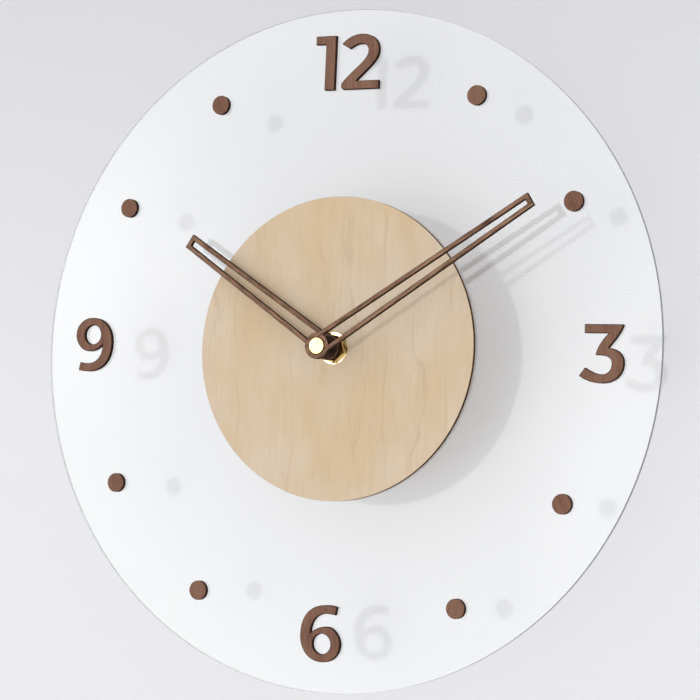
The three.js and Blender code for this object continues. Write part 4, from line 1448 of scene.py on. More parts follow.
@dataclass
class HourMarks:
    """Numerals at 12, 3, 6 and 9, and dots between them, cut from walnut by laser.

    A digit is drawn in millimetres from the lower left corner of its box. The typed numbers in its
    curves are their ends and handles, read off the photograph.
    """

    height: float = 24.2
    overshoot: float = 0.3
    stem: float = 5.2
    one_stem: float = 4.9
    bar: float = 3.75
    crown: float = 4.4
    one_width: float = 9.9
    two_width: float = 18.3
    three_width: float = 19.4
    six_width: float = 19.65
    counter_radius: float = 4.45
    edge: float = 0.09
    scorch: float = 0.22
    counter_steps: int = 48
    dot_segments: int = 64
    dots: int = 12
    dots_apart: int = 3
    dot_from_rim: float = 23.7
    dot_turn: float = 0.5
    dot_seed: int = 3

    def one(self) -> Loop:
        """The digit 1."""
        top, under = self.height, self.height - self.bar
        left, right = self.one_width - self.one_stem, self.one_width
        line = Outline(0, top).line((0, under), (left, under), (left, 0), (right, 0))
        return line.line((right, top)).points

    def two(self) -> Loop:
        """The digit 2."""
        top, bar = self.height + self.overshoot, self.bar
        right = self.two_width - 0.4
        inner, under, waist = right - self.stem, top - self.crown, self.height * 0.71
        line = Outline(-0.4, self.height - 3.9)
        line.curve((2.2, top - 1.5), (5.6, top), (right / 2 + 0.3, top))
        line.curve((right - 3.5, top), (right, top - 3), (right, waist))
        line.curve((right, waist - 4.8), (right - 4.4, bar + 6.1), (7.2, bar))
        line.line((self.two_width, bar), (self.two_width, 0), (0.8, 0), (0, 0.8), (0, 2.7))
        line.curve((3, 6.2), (inner - 6, 9), (inner - 3, 11.8))
        line.curve((inner - 1, waist - 3.5), (inner, waist - 2), (inner, waist))
        line.curve((inner, under - 1.2), (inner - 1.4, under), (inner - 3.6, under))
        line.curve((inner - 5.6, under), (5.2, under - 0.9), (3.5, under - 2.1))
        return line.points

    def three(self) -> Loop:
        """The digit 3."""
        top, right, low = self.height, self.three_width, -self.overshoot
        inner, lip, bowl = right - self.stem, low + self.bar, self.height * 0.33
        notch, throat, knee = (12.6, top * 0.6), (12.3, top - self.bar), (7.0, top * 0.47)
        line = Outline(1.8, top).line((right - 0.65, top))
        line.curve((right - 1.1, top - 2), (right - 2.2, top - 4.2), notch)
        line.curve((right - 2.4, notch[1] - 0.6), (right, bowl + 3.6), (right, bowl))
        line.curve((right, bowl - 5), (right - 4, low), (right / 2, low))
        line.curve((6.2, low), (2.8, low + 1), (0, low + 2.9))
        line.line((2.45, lip + 2.65))
        line.curve((4.9, lip + 1.15), (7.2, lip), (10, lip))
        line.curve((inner - 1.5, lip), (inner, bowl - 2.6), (inner, bowl - 0.1))
        line.curve((inner, bowl + 2.3), (inner - 1.9, knee[1]), knee)
        line.curve((knee[0] + 0.6, knee[1] + 3), (9, throat[1] - 3.6), throat)
        return line.line((1.8, throat[1])).points

    def six(self) -> tuple[Loop, Loop]:
        """The digit 6 and its counter. Turned half round it is the 9."""
        top, low, right = self.height + self.overshoot, -self.overshoot, self.six_width
        under, inner, middle = top - self.bar, self.stem - 0.3, right * 0.555
        bowl_top, bowl = self.height * 0.628, self.height * 0.325
        joint = (inner, bowl_top - 3.3)
        line = Outline(right - 2.2, top - 0.6)
        line.curve((right - 3.9, top - 0.1), (right - 5.4, top), (right - 6.9, top))
        line.curve((4.8, top), (0, top - 4.9), (0, self.height * 0.467))
        line.curve((0, 4.4), (4.4, low), (middle, low))
        line.curve((right - 3.7, low), (right, 3.1), (right, bowl))
        line.curve((right - 0.2, bowl + 3.4), (right - 3.2, bowl_top), (right - 7.1, bowl_top))
        line.curve((9.6, bowl_top), (6.9, bowl_top - 1.3), joint)
        line.curve((inner, joint[1] + 5.1), (7.6, under), (right - 6.9, under))
        line.curve((right - 5.4, under), (right - 4.1, under - 0.1), (right - 2.9, under - 0.4))
        return line.points, circle(
            self.counter_radius, self.counter_steps, (right * 0.537, bowl - 0.3)
        )

    def numeral(self, name: str, node: str, loops: Sequence[Loop]) -> None:
        """Cuts one digit out and glues it where its CAD node is.

        Args:
            name: The piece's name.
            node: The CAD node, whose lowest corner the digit is lined up with.
            loops: The outline and its holes.
        """
        low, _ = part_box(node)
        x = low.x * PER_MM - min(point[0] for point in loops[0])
        z = low.z * PER_MM - min(point[1] for point in loops[0])
        back, front = span(node)
        outline, *holes = (moved(loop, x, z) for loop in loops)
        shell = prism(outline, holes, back + GLUE, front, self.edge, self.scorch)
        finishes = (WALNUT, CHARRED, SCORCHED)
        settle(made_of(name, [shell], finishes), Body.CLOCK, Slot.WALNUT, node)

    def dot_ring(self) -> None:
        """Sets the dots round the dial, each with its grain its own way."""
        low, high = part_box("dot_01")
        radius = (high.x - low.x) / 2
        back, front = span("dot_01")
        thick = (front - back - GLUE) * MM
        ring = half_width("dial_disc") * MM - self.dot_from_rim * MM
        shape = ShapeTree("walnut_dots")
        count = shape.take("Hours", Socket.INT, self.dots)
        ring_radius = shape.take("Ring radius", Socket.FLOAT, ring)
        dot_radius = shape.take("Dot radius", Socket.FLOAT, radius)
        thickness = shape.take("Thickness", Socket.FLOAT, thick)
        broken = shape.take("Broken edge", Socket.FLOAT, self.edge * MM)
        seed = shape.take("Seed", Socket.INT, self.dot_seed)
        tree = shape.tree

        hours = add(tree, "GeometryNodeMeshCircle", {"Vertices": count, "Radius": ring_radius})
        index = add(tree, "GeometryNodeInputIndex").outputs[0]
        past_quarter = add(
            tree, "ShaderNodeMath", {0: index, 1: self.dots_apart}, operation="MODULO"
        )
        quarter = add(
            tree,
            "ShaderNodeMath",
            {0: past_quarter.outputs[0], 1: 0.0, 2: 0.5},
            operation="COMPARE",
        )
        kept = add(
            tree,
            "GeometryNodeDeleteGeometry",
            {"Geometry": hours.outputs[0], "Selection": quarter.outputs[0]},
            domain="POINT",
        )
        body = add(tree, "ShaderNodeMath", {0: thickness, 1: broken}, operation="SUBTRACT")
        blank = add(
            tree,
            "GeometryNodeMeshCylinder",
            {"Vertices": self.dot_segments, "Radius": dot_radius, "Depth": body.outputs[0]},
        )
        middle = add(tree, "ShaderNodeMath", {0: body.outputs[0], 1: 0.5}, operation="MULTIPLY")
        lift = add(tree, "ShaderNodeCombineXYZ", {"Z": middle.outputs[0]})
        raised = add(
            tree,
            "GeometryNodeTransform",
            {"Geometry": blank.outputs["Mesh"], "Translation": lift.outputs[0]},
        )
        crown = add(
            tree,
            "GeometryNodeExtrudeMesh",
            {"Mesh": raised.outputs[0], "Selection": blank.outputs["Top"], "Offset Scale": broken},
        )
        top = add(tree, "ShaderNodeMath", {0: dot_radius, 1: broken}, operation="SUBTRACT")
        narrower = add(
            tree, "ShaderNodeMath", {0: top.outputs[0], 1: dot_radius}, operation="DIVIDE"
        )
        dot = add(
            tree,
            "GeometryNodeScaleElements",
            {
                "Geometry": crown.outputs[0],
                "Selection": crown.outputs["Top"],
                "Scale": narrower.outputs[0],
            },
        )
        placed = add(
            tree,
            "GeometryNodeInstanceOnPoints",
            {"Points": kept.outputs[0], "Instance": dot.outputs[0]},
        )
        angle = add(
            tree,
            "FunctionNodeRandomValue",
            {2: -self.dot_turn, 3: self.dot_turn, "Seed": seed},
            data_type="FLOAT",
        )
        marked = add(
            tree,
            "GeometryNodeStoreNamedAttribute",
            {"Geometry": placed.outputs[0], "Name": GRAIN_TURN, "Value": angle.outputs[1]},
            data_type="FLOAT",
            domain="INSTANCE",
        )
        dots = shape.give(marked.outputs[0], back + GLUE, DOT_WALNUT, CHARRED)
        nodes = [f"dot_{hour:02d}" for hour in range(1, self.dots + 1) if hour % self.dots_apart]
        settle(dots, Body.CLOCK, Slot.WALNUT, *nodes)

    def build(self) -> None:
        """Makes the numerals and the dots."""
        self.numeral("walnut_12_one", "numeral_12_one", [self.one()])
        self.numeral("walnut_12_two", "numeral_12_two", [self.two()])
        self.numeral("walnut_3", "numeral_3", [self.three()])
        six = self.six()
        self.numeral("walnut_6", "numeral_6", six)
        nine = [moved(loop, clockwise=math.pi) for loop in six]
        self.numeral("walnut_9", "numeral_9", nine)
        self.dot_ring()


@dataclass
class Hand:
    """An open hand of two bars that close in towards a squared tip."""

    node: str
    name: str
    body: Body
    clock_angle: float
    length: float
    root_half_width: float
    tip_half_width: float
    bar: float
    tip_bar: float
    bore: float
    hub: float = 5.7
    edge: float = 0.09
    scorch: float = 0.16
    hub_steps: int = 56
    settling: int = 8

    def half_width(self, along: float) -> float:
        """Half of the hand's width at a distance from its axis."""
        share = along / self.length
        return self.root_half_width + (self.tip_half_width - self.root_half_width) * share

    def leaves_hub(self, inner: float) -> float:
        """The angle, from the hand's right, at which a side leaves the hub.

        Args:
            inner: How far inside the hand's outer side the line is.

        Returns:
            The angle in radians.
        """
        along = self.hub
        for _ in range(self.settling):
            across = self.half_width(along) - inner
            along = math.sqrt(self.hub**2 - across**2)
        return math.atan2(along, across)

    def build(self) -> None:
        """Cuts the hand out and turns it to its hour."""
        outer = self.leaves_hub(0.0)
        tip = self.half_width(self.length)
        rim = Outline(tip, self.length).line((-tip, self.length))
        rim.arc(self.hub, math.pi - outer, FULL_TURN + outer, self.hub_steps)
        inner = self.leaves_hub(self.bar)
        end = self.length - self.tip_bar
        width = self.half_width(end) - self.bar
        slot = Outline(width, end).line((-width, end))
        slot.arc(self.hub, math.pi - inner, inner, self.hub_steps // 4)
        turn = math.radians(self.clock_angle)
        loops = [rim.points, slot.points, circle(self.bore, self.hub_steps)]
        outline, *holes = (moved(loop, clockwise=turn) for loop in loops)
        back, front = span(self.node)
        shell = prism(outline, holes, back, front, self.edge, self.scorch)
        wood = replace(HAND_WALNUT, name=f"{HAND_WALNUT.name}_{self.node}", clockwise=turn)
        finishes = (wood, CHARRED, SCORCHED)
        settle(made_of(self.name, [shell], finishes), self.body, Slot.WALNUT, self.node)


HANDS = (
    Hand(
        node="hour_hand",
        name="hour_hand_frame",
        body=Body.HOUR,
        clock_angle=303.0,
        length=86.3,
        root_half_width=4.68,
        tip_half_width=3.35,
        bar=2.15,
        tip_bar=2.0,
        bore=3.9,
    ),
    Hand(
        node="minute_hand",
        name="minute_hand_frame",
        body=Body.MINUTE,
        clock_angle=57.25,
        length=115.1,
        root_half_width=4.6,
        tip_half_width=3.05,
        bar=1.95,
        tip_bar=2.2,
        bore=3.75,
    ),
)


@dataclass
class HandCentre:
    """The bushes that hold the hands on their arbors, and the round cap at the front."""

    segments: int = 128
    hour_bore: float = 2.6
    hour_barrel: float = 3.85
    minute_bore: float = 1.55
    minute_barrel: float = 2.6
    barrel_length: float = 3.2
    fine_edge: float = 0.08
    cap_edge: float = 0.25

    def build(self) -> None:
        """Turns the two bushes and the cap."""
        back, front = span("hour_hand_bush")
        shoulder = span("hour_hand")[1]
        flange = half_width("hour_hand_bush")
        hour = [
            (self.hour_bore, back),
            (self.hour_barrel, back),
            (self.hour_barrel, shoulder),
            (flange, shoulder),
            (flange, front),
            (self.hour_bore, front),
        ]
        # The hour bush's near-black brown is partly painted shade for the dark gap behind the
        # minute hub
        self.turned("hour_bush", "hour_hand_bush", hour, Body.HOUR, BROWN_ABS_PAINTED_SHADE, Slot.BLACK_PLASTIC)
        back, front = span("minute_hand_bush")
        head = half_width("minute_hand_bush")
        step = back + self.barrel_length
        minute = [
            (self.minute_bore, back),
            (self.minute_barrel, back),
            (self.minute_barrel, step),
            (head, step),
            (head, front),
            (self.minute_bore, front),
        ]
        # The minute bush's blackened brass is partly painted shade for the dark gap between the
        # hubs
        self.turned("minute_bush", "minute_hand_bush", minute, Body.MINUTE, DARK_BRASS_PAINTED_SHADE, Slot.BRASS)
        back, front = span("hand_cap")
        radius = half_width("hand_cap")
        half = [(0.0, back), (radius, back), (radius, front), (0.0, front)]
        profile = rounded(half, self.cap_edge, closed=False)
        cap = made_of("minute_cap", [lathe(profile, self.segments)], (PALE_BRASS,))
        settle(cap, Body.MINUTE, Slot.BRASS, "hand_cap")

    def turned(
        self, name: str, node: str, profile: Loop, body: Body, finish: Finish, slot: Slot
    ) -> None:
        """Turns one bush with its corners rounded."""
        shell = lathe(rounded(profile, self.fine_edge), self.segments)
        settle(made_of(name, [shell], (finish,)), body, slot, node)


@dataclass
class Fastening:
    """What clamps the dial to the movement: nut, washers and threaded tube."""

    segments: int = 144
    across_flats: float = 12.0
    chamfer: float = 0.9
    beyond_corner: float = 0.1
    nut_turn: float = math.radians(-17)
    thread_pitch: float = 0.75
    thread_depth: float = 0.35
    ridge_sunk: float = 0.02
    ridge_low: float = 0.03
    ridge_sides: int = 6
    thread_steps: int = 48
    tube_bore: float = 2.67
    tube_segments: int = 96
    tube_edge: float = 0.1
    flange_radius: float = 5.2
    lead: float = 0.3
    washer_edge: float = 0.12
    polished: tuple[int, int] = (3, 5)

    def nut(self) -> Shell:
        """A hexagon whose corners are cut by a cone at both ends, with a bore.

        The sides of its profile that polished names are the six flats and the front.

        Returns:
            The shell, its six flats and its front as FACE and the rest as EDGE.
        """
        back, front = span("hex_nut")
        flat = self.across_flats / 2
        sixth = FULL_TURN / 6
        cone = flat / math.cos(sixth / 2) + self.beyond_corner - self.chamfer
        bore, lead = THREAD_RADIUS + BORE_PLAY, self.lead
        shell = Shell()
        columns = []
        for i in range(self.segments):
            angle = FULL_TURN * i / self.segments
            reach = flat / math.cos(angle % sixth - sixth / 2)
            drop = max(reach - cone, 0.0)
            brink = min(reach, cone)
            profile = [
                (bore, back + lead),
                (bore + lead, back),
                (brink, back),
                (reach, back + drop),
                (reach, front - drop),
                (brink, front),
                (bore + lead, front),
                (bore, front - lead),
            ]
            turn = angle + self.nut_turn
            columns.append(range(len(shell.vertices), len(shell.vertices) + len(profile)))
            shell.vertices += [(r * math.cos(turn), -f, r * math.sin(turn)) for r, f in profile]
        for a, b in zip(columns, columns[1:] + columns[:1]):
            for k in range(len(a)):
                n = (k + 1) % len(a)
                shell.face((a[k], b[k], b[n], a[n]), FACE if k in self.polished else EDGE)
        return shell

    def tube(self) -> None:
        """The threaded tube: a turned core with the thread wound round it."""
        back, front = span("threaded_sleeve")
        shoulder = span("movement_case")[1]
        core = THREAD_RADIUS - self.thread_depth
        profile = [
            (self.tube_bore, back),
            (self.flange_radius, back),
            (self.flange_radius, shoulder),
            (core, shoulder),
            (core, front),
            (self.tube_bore, front),
        ]
        core_shell = lathe(rounded(profile, self.tube_edge), self.tube_segments)
        tube = made_of("threaded_tube", [core_shell], (BRASS,))
        settle(tube, Body.CLOCK, Slot.BRASS, "threaded_sleeve")
        length = front - shoulder - 2 * self.thread_depth
        shape = ShapeTree("tube_thread")
        pitch = shape.take("Pitch", Socket.FLOAT, self.thread_pitch * MM)
        height = shape.take("Length", Socket.FLOAT, length * MM)
        radius = shape.take("Radius", Socket.FLOAT, (core + self.ridge_sunk) * MM)
        depth = shape.take("Depth", Socket.FLOAT, (self.thread_depth - self.ridge_low) * MM)
        tree = shape.tree
        turns = add(tree, "ShaderNodeMath", {0: height, 1: pitch}, operation="DIVIDE")
        line = add(
            tree,
            "GeometryNodeCurveSpiral",
            {
                "Resolution": self.thread_steps,
                "Rotations": turns.outputs[0],
                "Start Radius": radius,
                "End Radius": radius,
                "Height": height,
            },
        )
        ridge = add(
            tree,
            "GeometryNodeCurvePrimitiveCircle",
            {"Resolution": self.ridge_sides, "Radius": depth},
        )
        wound_up = add(
            tree,
            "GeometryNodeCurveToMesh",
            {0: line.outputs[0], 1: ridge.outputs[0], "Fill Caps": True},
        )
        thread = shape.give(wound_up.outputs[0], shoulder + self.thread_depth, BRASS)
        settle(thread, Body.CLOCK, Slot.BRASS)

    def washer(self, name: str, node: str, finish: Finish, slot: Slot, off: float) -> None:
        """A flat washer with rounded edges, its two faces off their neighbours by a hair."""
        back, front = span(node)
        bore, radius = THREAD_RADIUS + BORE_PLAY, half_width(node)
        corners = [(bore, back), (radius, back), (radius, front - off), (bore, front - off)]
        shell = lathe(rounded(corners, self.washer_edge), self.segments)
        settle(made_of(name, [shell], (finish,)), Body.CLOCK, slot, node)

    def build(self) -> None:
        """Makes the nut, the washers and the tube."""
        # The nut's chamfers, back and bore take the dull olive brass, a painted shade
        nut = made_of("brass_hex_nut", [self.nut()], (BRASS, PAINTED_SHADE_BRASS))
        work = bmesh.new()
        work.from_mesh(nut.data)
        bmesh.ops.remove_doubles(work, verts=work.verts, dist=SAME_POINT)
        bmesh.ops.dissolve_degenerate(work, edges=work.edges, dist=SAME_POINT)
        work.to_mesh(nut.data)
        work.free()
        shaded(nut.data)
        settle(nut, Body.CLOCK, Slot.BRASS, "hex_nut")
        self.washer("brass_flat_washer", "brass_washer", BRIGHT_BRASS, Slot.BRASS, 0.0)
        self.washer("rubber_ring", "rubber_washer", RUBBER, Slot.RUBBER, GLUE)
        self.tube()


# The CAD nodes that stay in the scene, by the finish that they get
DRESSED = (
    (STEEL, ("positive_contact", "negative_contact", "clutch_spring", "quartz_crystal")),
    (WHITE_ACETAL, ("train_plate", "centre_wheel", "third_wheel", "seconds_wheel", "step_wheel")),
    (WHITE_ACETAL, ("rotor_pinion", "minute_wheel", "coil_bobbin")),
    # The hour wheel's black is partly painted shade for its tube's end in the gap between the hubs
    (BLACK_ACETAL_PAINTED_SHADE, ("hour_wheel",)),
    (FERRITE, ("rotor_magnet",)),
    (BRASS, ("minute_arbor",)),
    (SILICON_IRON, ("stator", "coil_core")),
    (LAMINATE, ("circuit_board",)),
    (RESIN, ("chip_cover",)),
)


@dataclass
class Movement:
    """The quartz movement: what shows of it from behind, and its insides."""

    moulded_edge: float = 0.25
    pressed_edge: float = 0.08

    def build(self) -> None:
        """Rounds the mouldings' edges and gives each CAD node that stays its finish."""
        shells = (
            ("movement_case", "movement_shell", self.moulded_edge, BLACK_ABS, Slot.BLACK_PLASTIC),
            ("movement_cover", "movement_lid", self.moulded_edge, BLACK_ABS, Slot.BLACK_PLASTIC),
            ("hanger_plate", "steel_hanger", self.pressed_edge, STEEL, Slot.STEEL),
        )
        for node, name, width, finish, slot in shells:
            settle(softened(node, name, width, finish), Body.CLOCK, slot, node)
        knob = softened("setting_knob", "ribbed_knob", self.pressed_edge, KNOB_ABS)
        settle(knob, Body.KNOB, Slot.BLACK_PLASTIC, "setting_knob")
        for finish, nodes in DRESSED:
            for node in nodes:
                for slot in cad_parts[node].material_slots:
                    slot.material = finish.material()
                LOG.info("%s: dressed in %s", node, finish.name)


@dataclass
class PowerCell:
    """One AA cell: a can in shrink film, with its button end at the left seen from the front."""

    segments: int = 96
    nub_radius: float = 2.75
    nub_length: float = 1.3
    rim: float = 0.6
    film_end: float = 4.6
    nub_step: float = 0.1
    button_step: float = 0.25
    base_step: float = 0.3
    tolerance: float = 0.01

    def build(self) -> None:
        """Turns the cell on a line along X, in its bay."""
        low, high = (corner * PER_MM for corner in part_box("cell"))
        radius = (high.z - low.z) / 2
        length = high.x - low.x
        end = self.nub_length
        film_from = self.film_end - self.tolerance
        profile = [
            (0.0, 0.0),
            (self.nub_radius, 0.0),
            (self.nub_radius, end - self.nub_step),
            (self.film_end, end),
            (self.film_end, end - self.button_step),
            (radius, end - self.button_step),
            (radius, length),
            (self.film_end, length),
            (self.film_end, length - self.base_step),
            (0.0, length - self.base_step),
        ]
        shell = lathe(
            rounded(profile, self.rim, closed=False),
            self.segments,
            finish=lambda a, b: FACE if min(a[0], b[0]) >= film_from else EDGE,
        )
        centre = (low + high) / 2
        shell.placed(
            Matrix.Translation((low.x, centre.y, centre.z)) @ Matrix.Rotation(math.pi / 2, 4, "Z")
        )
        cell = made_of("dry_cell", [shell], (CELL_FILM, STEEL))
        shaded(cell.data, flat_along=(0,))
        settle(cell, Body.CLOCK, Slot.CELL_WRAP, "cell")


@dataclass
class Winding:
    """The motor's coil: turns of enamelled wire side by side on the bobbin."""

    wire: float = 0.26
    wire_sides: int = 8
    turn_sides: int = 32

    def build(self) -> None:
        """Winds the coil, its wire drawn thicker than the real hair-thin one so that it shows."""
        low, high = (corner * PER_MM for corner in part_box("coil_winding"))
        length, radius = high.x - low.x, (high.z - low.z) / 2
        centre = (low + high) / 2
        shape = ShapeTree("copper_winding")
        wire = shape.take("Wire", Socket.FLOAT, self.wire * MM)
        long = shape.take("Length", Socket.FLOAT, length * MM)
        outside = shape.take("Radius", Socket.FLOAT, radius * MM)
        tree = shape.tree

        fitting = add(tree, "ShaderNodeMath", {0: long, 1: wire}, operation="DIVIDE")
        count = add(tree, "ShaderNodeMath", {0: fitting.outputs[0]}, operation="FLOOR")
        half = add(tree, "ShaderNodeMath", {0: wire, 1: 0.5}, operation="MULTIPLY")
        pitch = add(tree, "ShaderNodeMath", {0: long, 1: count.outputs[0]}, operation="DIVIDE")
        first = add(tree, "ShaderNodeCombineXYZ", {"X": half.outputs[0]})
        step = add(tree, "ShaderNodeCombineXYZ", {"X": pitch.outputs[0]})
        line = add(
            tree,
            "GeometryNodeMeshLine",
            {
                "Count": count.outputs[0],
                "Start Location": first.outputs[0],
                "Offset": step.outputs[0],
            },
        )
        middle = add(tree, "ShaderNodeMath", {0: outside, 1: half.outputs[0]}, operation="SUBTRACT")
        around = add(
            tree,
            "GeometryNodeCurvePrimitiveCircle",
            {"Resolution": self.turn_sides, "Radius": middle.outputs[0]},
        )
        section = add(
            tree,
            "GeometryNodeCurvePrimitiveCircle",
            {"Resolution": self.wire_sides, "Radius": half.outputs[0]},
        )
        turn = add(tree, "GeometryNodeCurveToMesh", {0: around.outputs[0], 1: section.outputs[0]})
        turns = add(
            tree,
            "GeometryNodeInstanceOnPoints",
            {
                "Points": line.outputs[0],
                "Instance": turn.outputs[0],
                "Rotation": (0, math.pi / 2, 0),
            },
        )
        placed = add(
            tree,
            "GeometryNodeTransform",
            {"Geometry": turns.outputs[0], "Translation": (low.x * MM, centre.z * MM, 0)},
        )
        coil = shape.give(placed.outputs[0], -centre.y, COPPER)
        settle(coil, Body.CLOCK, Slot.COPPER, "coil_winding")


# Stage


class SoftBox(Enum):
    """The outlines of a lamp's soft box."""

    ROUND = "ELLIPSE"
    SQUARE = "RECTANGLE"


@dataclass(frozen=True)
class Lamp:
    """One soft lamp that faces the clock: its place and size in metres, its power in watts.

    With lights off it only shows in gloss, as a bright panel does. With shows off it only lights.
    A faded lamp loses its light towards its outline. The lean turns it about its own axis.
    """

    name: str
    place: tuple[float, float, float]
    size: Pair
    power: float
    box: SoftBox = SoftBox.ROUND
    lights: bool = True
    shows: bool = True
    faded: bool = False
    lean: float = 0.0

    def fade(self, light: bpy.types.Light) -> None:
        """Lets the light fall smoothly from the lamp's middle to nothing at its outline.

        A lamp's own coordinates run from 0 to 1 across it, so both are 0.5 in the middle.
        """
        light.use_nodes = True
        tree = light.node_tree
        spot = add(tree, "ShaderNodeNewGeometry")
        off = add(
            tree,
            "ShaderNodeVectorMath",
            {0: spot.outputs["Parametric"], 1: (0.5, 0.5, 0.0)},
            operation="DISTANCE",
        )
        share = add(
            tree,
            "ShaderNodeMapRange",
            {"Value": off.outputs["Value"], "From Min": 0.5, "From Max": 0.0},
            interpolation_type="SMOOTHSTEP",
        )
        fill(tree, tree.nodes["Emission"], {"Strength": share.outputs[0]})

    def build(self) -> None:
        """Hangs the lamp and turns it to the clock."""
        light = bpy.data.lights.new(self.name, "AREA")
        light.shape, light.energy = self.box.value, self.power
        light.size, light.size_y = self.size
        if self.faded:
            self.fade(light)
        made = stood(self.name, light)
        made.location = self.place
        turn = Vector(self.place).to_track_quat("Z", "Y") @ Quaternion((0, 0, 1), self.lean)
        made.rotation_euler = turn.to_euler()
        made.visible_camera = False
        made.visible_transmission = False
        made.visible_diffuse = self.lights
        made.visible_glossy = self.shows


# A small key lamp near the camera's height throws the crisp faint shadows on the wall. It hangs far
# off, so the shadows are as large as what throws them. A broad one throws the soft ones from lower
# down. The panel at the left is what the dial and the cap mirror. Two faded lamps give the soft
# bright patches that the dial mirrors at its left and at its right.
LAMPS = (
    Lamp("key_lamp", (-0.312, -12.0, 0.26), (0.4, 0.4), 180.0),
    Lamp("broad_lamp", (-0.25, -2.6, -0.35), (1.3, 1.3), 8.1, shows=False),
    Lamp("left_panel", (-1.15, -2.22, 0.1), (3.2, 3.2), 110.0, SoftBox.SQUARE, lights=False),
    Lamp("left_patch", (-1.6, -2.22, 0.27), (0.7, 0.72), 2.2, lights=False, faded=True),
    Lamp(
        "right_patch",
        (-0.68, -2.22, 0.03),
        (0.26, 0.8),
        0.6,
        lights=False,
        faded=True,
        lean=math.radians(-15),
    ),
    Lamp("rear_lamp", (0.7, 1.6, 0.9), (0.8, 0.8), 8.0, shows=False),
)


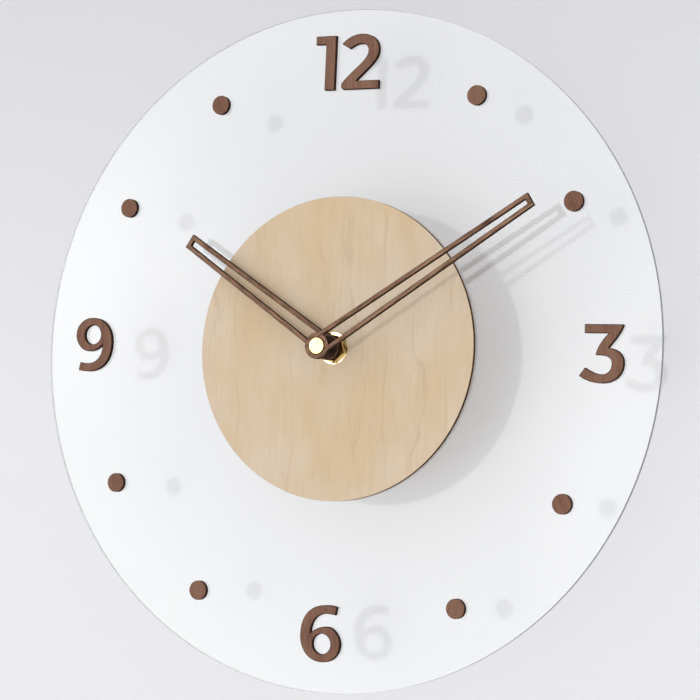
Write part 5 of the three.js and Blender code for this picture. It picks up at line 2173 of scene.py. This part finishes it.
@dataclass
class Studio:
    """The wall, the floor, the light and the camera of the photograph.

    The sides of the sheets, the floor's depth, the heights between which the wall's painted shade
    darkens it and the camera's nearest sight are in metres. The other lengths are in millimetres.
    """

    wall_behind: float = 27.9
    wall_side: float = 6.0
    floor_below: float = 0.9
    azimuth: float = math.radians(27.411)
    elevation: float = math.radians(-3.096)
    roll: float = math.radians(2.516)
    distance: float = 996.2
    lens: float = 116.97
    aim: tuple[float, float, float] = (6.995, 0.0, -0.531)
    sensor: float = 36.0
    nearest: float = 0.05
    # Between these heights the paint darkens from the low tone to the top one, from shade_start on:
    # a painted shade for the light that falls off towards the ceiling
    shade_from: float = -0.2
    shade_to: float = 0.2
    wall_low: str = "#F0F0F2"
    wall_top_painted_shade: str = "#DFDFE2"
    shade_start: float = 0.4
    wall_gloss: float = 0.1
    floor_tone: str = "#E9E9EA"
    matt: float = 0.9
    room_tone: str = "#F2F2F4"
    room_light: float = 0.735
    room_gloss: float = 0.3

    def wall_paint(self) -> bpy.types.Material:
        """Matt wall paint, darker towards the ceiling as painted shade. From behind, and for lamps,
        it is open.
        """
        made = bpy.data.materials.new("wall_paint_matt_painted_shade")
        made.use_nodes = True
        tree = made.node_tree
        surface = tree.nodes["Principled BSDF"]
        place = add(tree, "ShaderNodeTexCoord").outputs["Object"]
        height = add(tree, "ShaderNodeSeparateXYZ", {0: place}).outputs["Z"]
        share = add(
            tree,
            "ShaderNodeMapRange",
            {"Value": height, "From Min": self.shade_from, "From Max": self.shade_to},
        )
        colour = add(
            tree,
            "ShaderNodeValToRGB",
            {0: share.outputs[0]},
            stops=(
                (0.0, self.wall_low),
                (self.shade_start, self.wall_low),
                (1.0, self.wall_top_painted_shade),
            ),
        )
        fill(
            tree,
            surface,
            {
                "Base Color": colour.outputs[0],
                "Roughness": self.matt,
                "Specular IOR Level": self.wall_gloss,
            },
        )
        path = add(tree, "ShaderNodeLightPath")
        side = add(tree, "ShaderNodeNewGeometry")
        open_side = add(
            tree,
            "ShaderNodeMath",
            {0: path.outputs["Is Shadow Ray"], 1: side.outputs["Backfacing"]},
            operation="MAXIMUM",
        )
        clear = add(tree, "ShaderNodeBsdfTransparent")
        both = add(
            tree,
            "ShaderNodeMixShader",
            {0: open_side.outputs[0], 1: surface.outputs[0], 2: clear.outputs[0]},
        )
        fill(tree, tree.nodes["Material Output"], {"Surface": both.outputs[0]})
        return made

    def floor_paint(self) -> bpy.types.Material:
        """Pale matt floor."""
        made = bpy.data.materials.new("floor_matt")
        made.use_nodes = True
        tree = made.node_tree
        paint = {"Base Color": linear(self.floor_tone), "Roughness": self.matt}
        fill(tree, tree.nodes["Principled BSDF"], paint)
        return made

    def sheet(
        self, name: str, corners: Sequence[tuple[float, float, float]], paint: bpy.types.Material
    ) -> None:
        """One flat rectangle of the stage."""
        mesh = bpy.data.meshes.new(name)
        mesh.from_pydata(corners, [], [(0, 1, 2, 3)])
        mesh.materials.append(paint)
        stood(name, mesh)

    def sky(self) -> None:
        """An even pale room: white behind the clock, softer as light, dim in its gloss."""
        world = bpy.data.worlds.new("pale_room")
        world.use_nodes = True
        tree = world.node_tree
        tree.nodes.clear()
        path = add(tree, "ShaderNodeLightPath")
        seen = add(
            tree,
            "ShaderNodeMath",
            {0: path.outputs["Is Camera Ray"], 1: path.outputs["Is Transmission Ray"]},
            operation="MAXIMUM",
        )
        strength = add(
            tree,
            "ShaderNodeMapRange",
            {
                "Value": path.outputs["Is Glossy Ray"],
                "To Min": self.room_light,
                "To Max": self.room_gloss,
            },
        )
        light = add(
            tree,
            "ShaderNodeBackground",
            {"Color": linear("#FFFFFF"), "Strength": strength.outputs[0]},
        )
        view = add(tree, "ShaderNodeBackground", {"Color": linear(self.room_tone), "Strength": 1.0})
        both = add(
            tree,
            "ShaderNodeMixShader",
            {0: seen.outputs[0], 1: light.outputs[0], 2: view.outputs[0]},
        )
        add(tree, "ShaderNodeOutputWorld", {"Surface": both.outputs[0]})
        bpy.context.scene.world = world

    def camera(self) -> None:
        """The camera, where the photograph was taken from."""
        forward = span("dial_disc")[1]
        centre = Vector((0, -forward, 0)) * MM
        level = math.cos(self.elevation)
        way = Vector(
            (
                math.sin(self.azimuth) * level,
                -math.cos(self.azimuth) * level,
                math.sin(self.elevation),
            )
        )
        eye = centre + way * self.distance * MM
        back = (eye - centre - Vector(self.aim) * MM).normalized()
        right = Vector((0, 0, 1)).cross(back).normalized()
        up = back.cross(right)
        turned = Matrix.Rotation(self.roll, 3, back)
        right, up = turned @ right, turned @ up
        data = bpy.data.cameras.new("photo_camera")
        data.lens = self.lens
        data.sensor_width = self.sensor
        data.clip_start = self.nearest
        made = stood("photo_camera", data)
        turn = Matrix((right, up, back)).transposed()
        made.matrix_world = Matrix.Translation(eye) @ turn.to_4x4()
        bpy.context.scene.camera = made

    def build(self) -> None:
        """Sets up the whole stage."""
        scene = bpy.context.scene
        scene.view_settings.view_transform = "Standard"
        half, wall, floor = self.wall_side / 2, self.wall_behind * MM, -self.floor_below
        self.sheet(
            "wall",
            [(-half, wall, floor), (half, wall, floor), (half, wall, half), (-half, wall, half)],
            self.wall_paint(),
        )
        square = ((-half, -half), (half, -half), (half, half), (-half, half))
        self.sheet("floor", [(x, y, floor) for x, y in square], self.floor_paint())
        for lamp in LAMPS:
            lamp.build()
        self.sky()
        self.camera()


def main() -> None:
    """Builds the clock and its stage."""
    logging.basicConfig(level=logging.INFO, format="%(name)s: %(message)s")
    Dial().build()
    HourMarks().build()
    for hand in HANDS:
        hand.build()
    HandCentre().build()
    Fastening().build()
    Movement().build()
    PowerCell().build()
    Winding().build()
    Studio().build()


if __name__ == "__main__":
    main()
